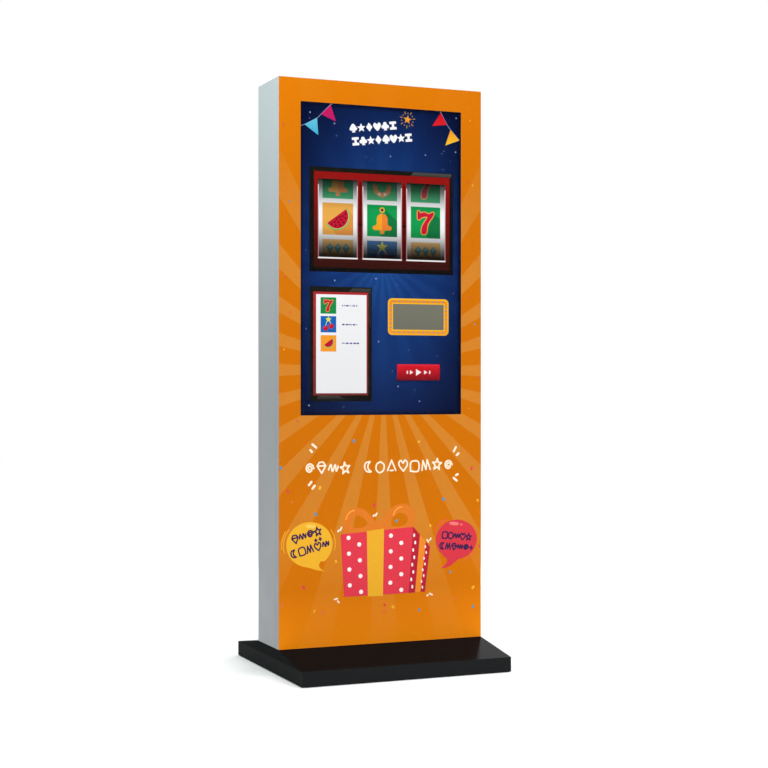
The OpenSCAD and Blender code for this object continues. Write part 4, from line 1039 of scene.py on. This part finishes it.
def bubbles():
    tail = smooth([(-252, 322), (-236, 318.5), (-218, 312), (-190, 307)], 4)
    tail += smooth([(-190, 307), (-201, 314), (-208, 325), (-203, 337)], 4)[1:]
    accents = {"line": (232, 158, 42), "arcs": ((9, 142, 196), (15, 150, 188), (9, -14, 34)),
               "shine": (243, 198, 90), "glints": ((4, 55, 17, 6), (34, 47, 4, 3))}
    rows = ((("gem", "wave", "spiral", "star"), -46, 18, 24, 7, 14),
            (("cross", "cross"), 20, 12, 14, 4, 6),
            (("moon", "box", "zigzag", "heart", "wave"), -50, -26, 25.5, 6.4, 13.3))
    bubble("wrap_bubble_yellow", (-238, 389), (74, 68), (-50, 259), tail, (236, 176, 48), accents, 14,
           rows)
    tail = smooth([(205, 337), (217, 327), (216, 314), (197, 298)], 4)
    tail += smooth([(197, 298), (214, 300), (233, 307), (256, 324.5)], 4)[1:]
    accents = {"line": (226, 96, 56), "arcs": ((8, 112, 160), (13, 122, 150), (9, -74, -34)),
               "shine": (238, 122, 120), "glints": ((-8, 50, 17, 5.5), (17, 46, 4, 3))}
    rows = ((("box", "ring", "wave", "heart", "star"), -40, 15, 20.5, -2.2, 11.4),
            (("moon", "zigzag", "gem", "wave", "spiral"), -49, -18, 20.4, -2, 11.4),
            (("cross",), 51, -28, 0, 0, 8))
    bubble("wrap_bubble_pink", (250.4, 386.7), (71, 62), (-85, 228), tail, (212, 57, 71), accents, -6,
           rows)


# The paper bits of each colour below the display.
CONFETTI = {
    (90, 146, 180): ((-94, 699), (206, 514), (-218, 480), (47, 452), (-334, 622), (229, 286), (123, 173),
                     (308, 174)),
    (240, 178, 50): ((122, 694), (-205, 559), (161, 433), (324, 507), (-153, 335), (308, 234), (-223, 188),
                     (35, 187)),
    (222, 66, 74): ((303, 608), (-307, 551), (-28, 502), (-257, 261), (7, 195), (330, 363)),
    (232, 112, 66): ((-295, 519), (-195, 182), (5, 176), (242, 203), (-325, 211)),
}


def confetti():
    art = wrap_art("wrap_confetti")
    pick = random.Random(5)
    for rgb, places in CONFETTI.items():
        for x, z in places:
            x = min(max(x, -WRAP_X + 6), WRAP_X - 6)
            turn, size = pick.uniform(-50, 50), pick.uniform(0.8, 1.15)
            shape = moved(rounded(-3.4, -5.2, 3.4, 5.2, 2.2, 3), x, z, turn, size)
            art.plate(print_ink(rgb), 2, shape)
    for x0, x1 in ((-325, -275), (275, 325)):
        for _ in range(9):
            ink = print_ink(pick.choice(list(CONFETTI)))
            place = (pick.uniform(x0, x1), pick.uniform(740, 1700))
            art.plate(ink, 2, moved(disc(0, 0, 2.2, 3.2, 10), *place, pick.uniform(0, 180)))
    art.finish()


make_camera()
make_studio()
dress_nodes()
reel_contents()
reel_frame()
pay_table()
marquee()
play_button()
bunting()
title()
specks()
wrap_title()
gift()
bubbles()
confetti()
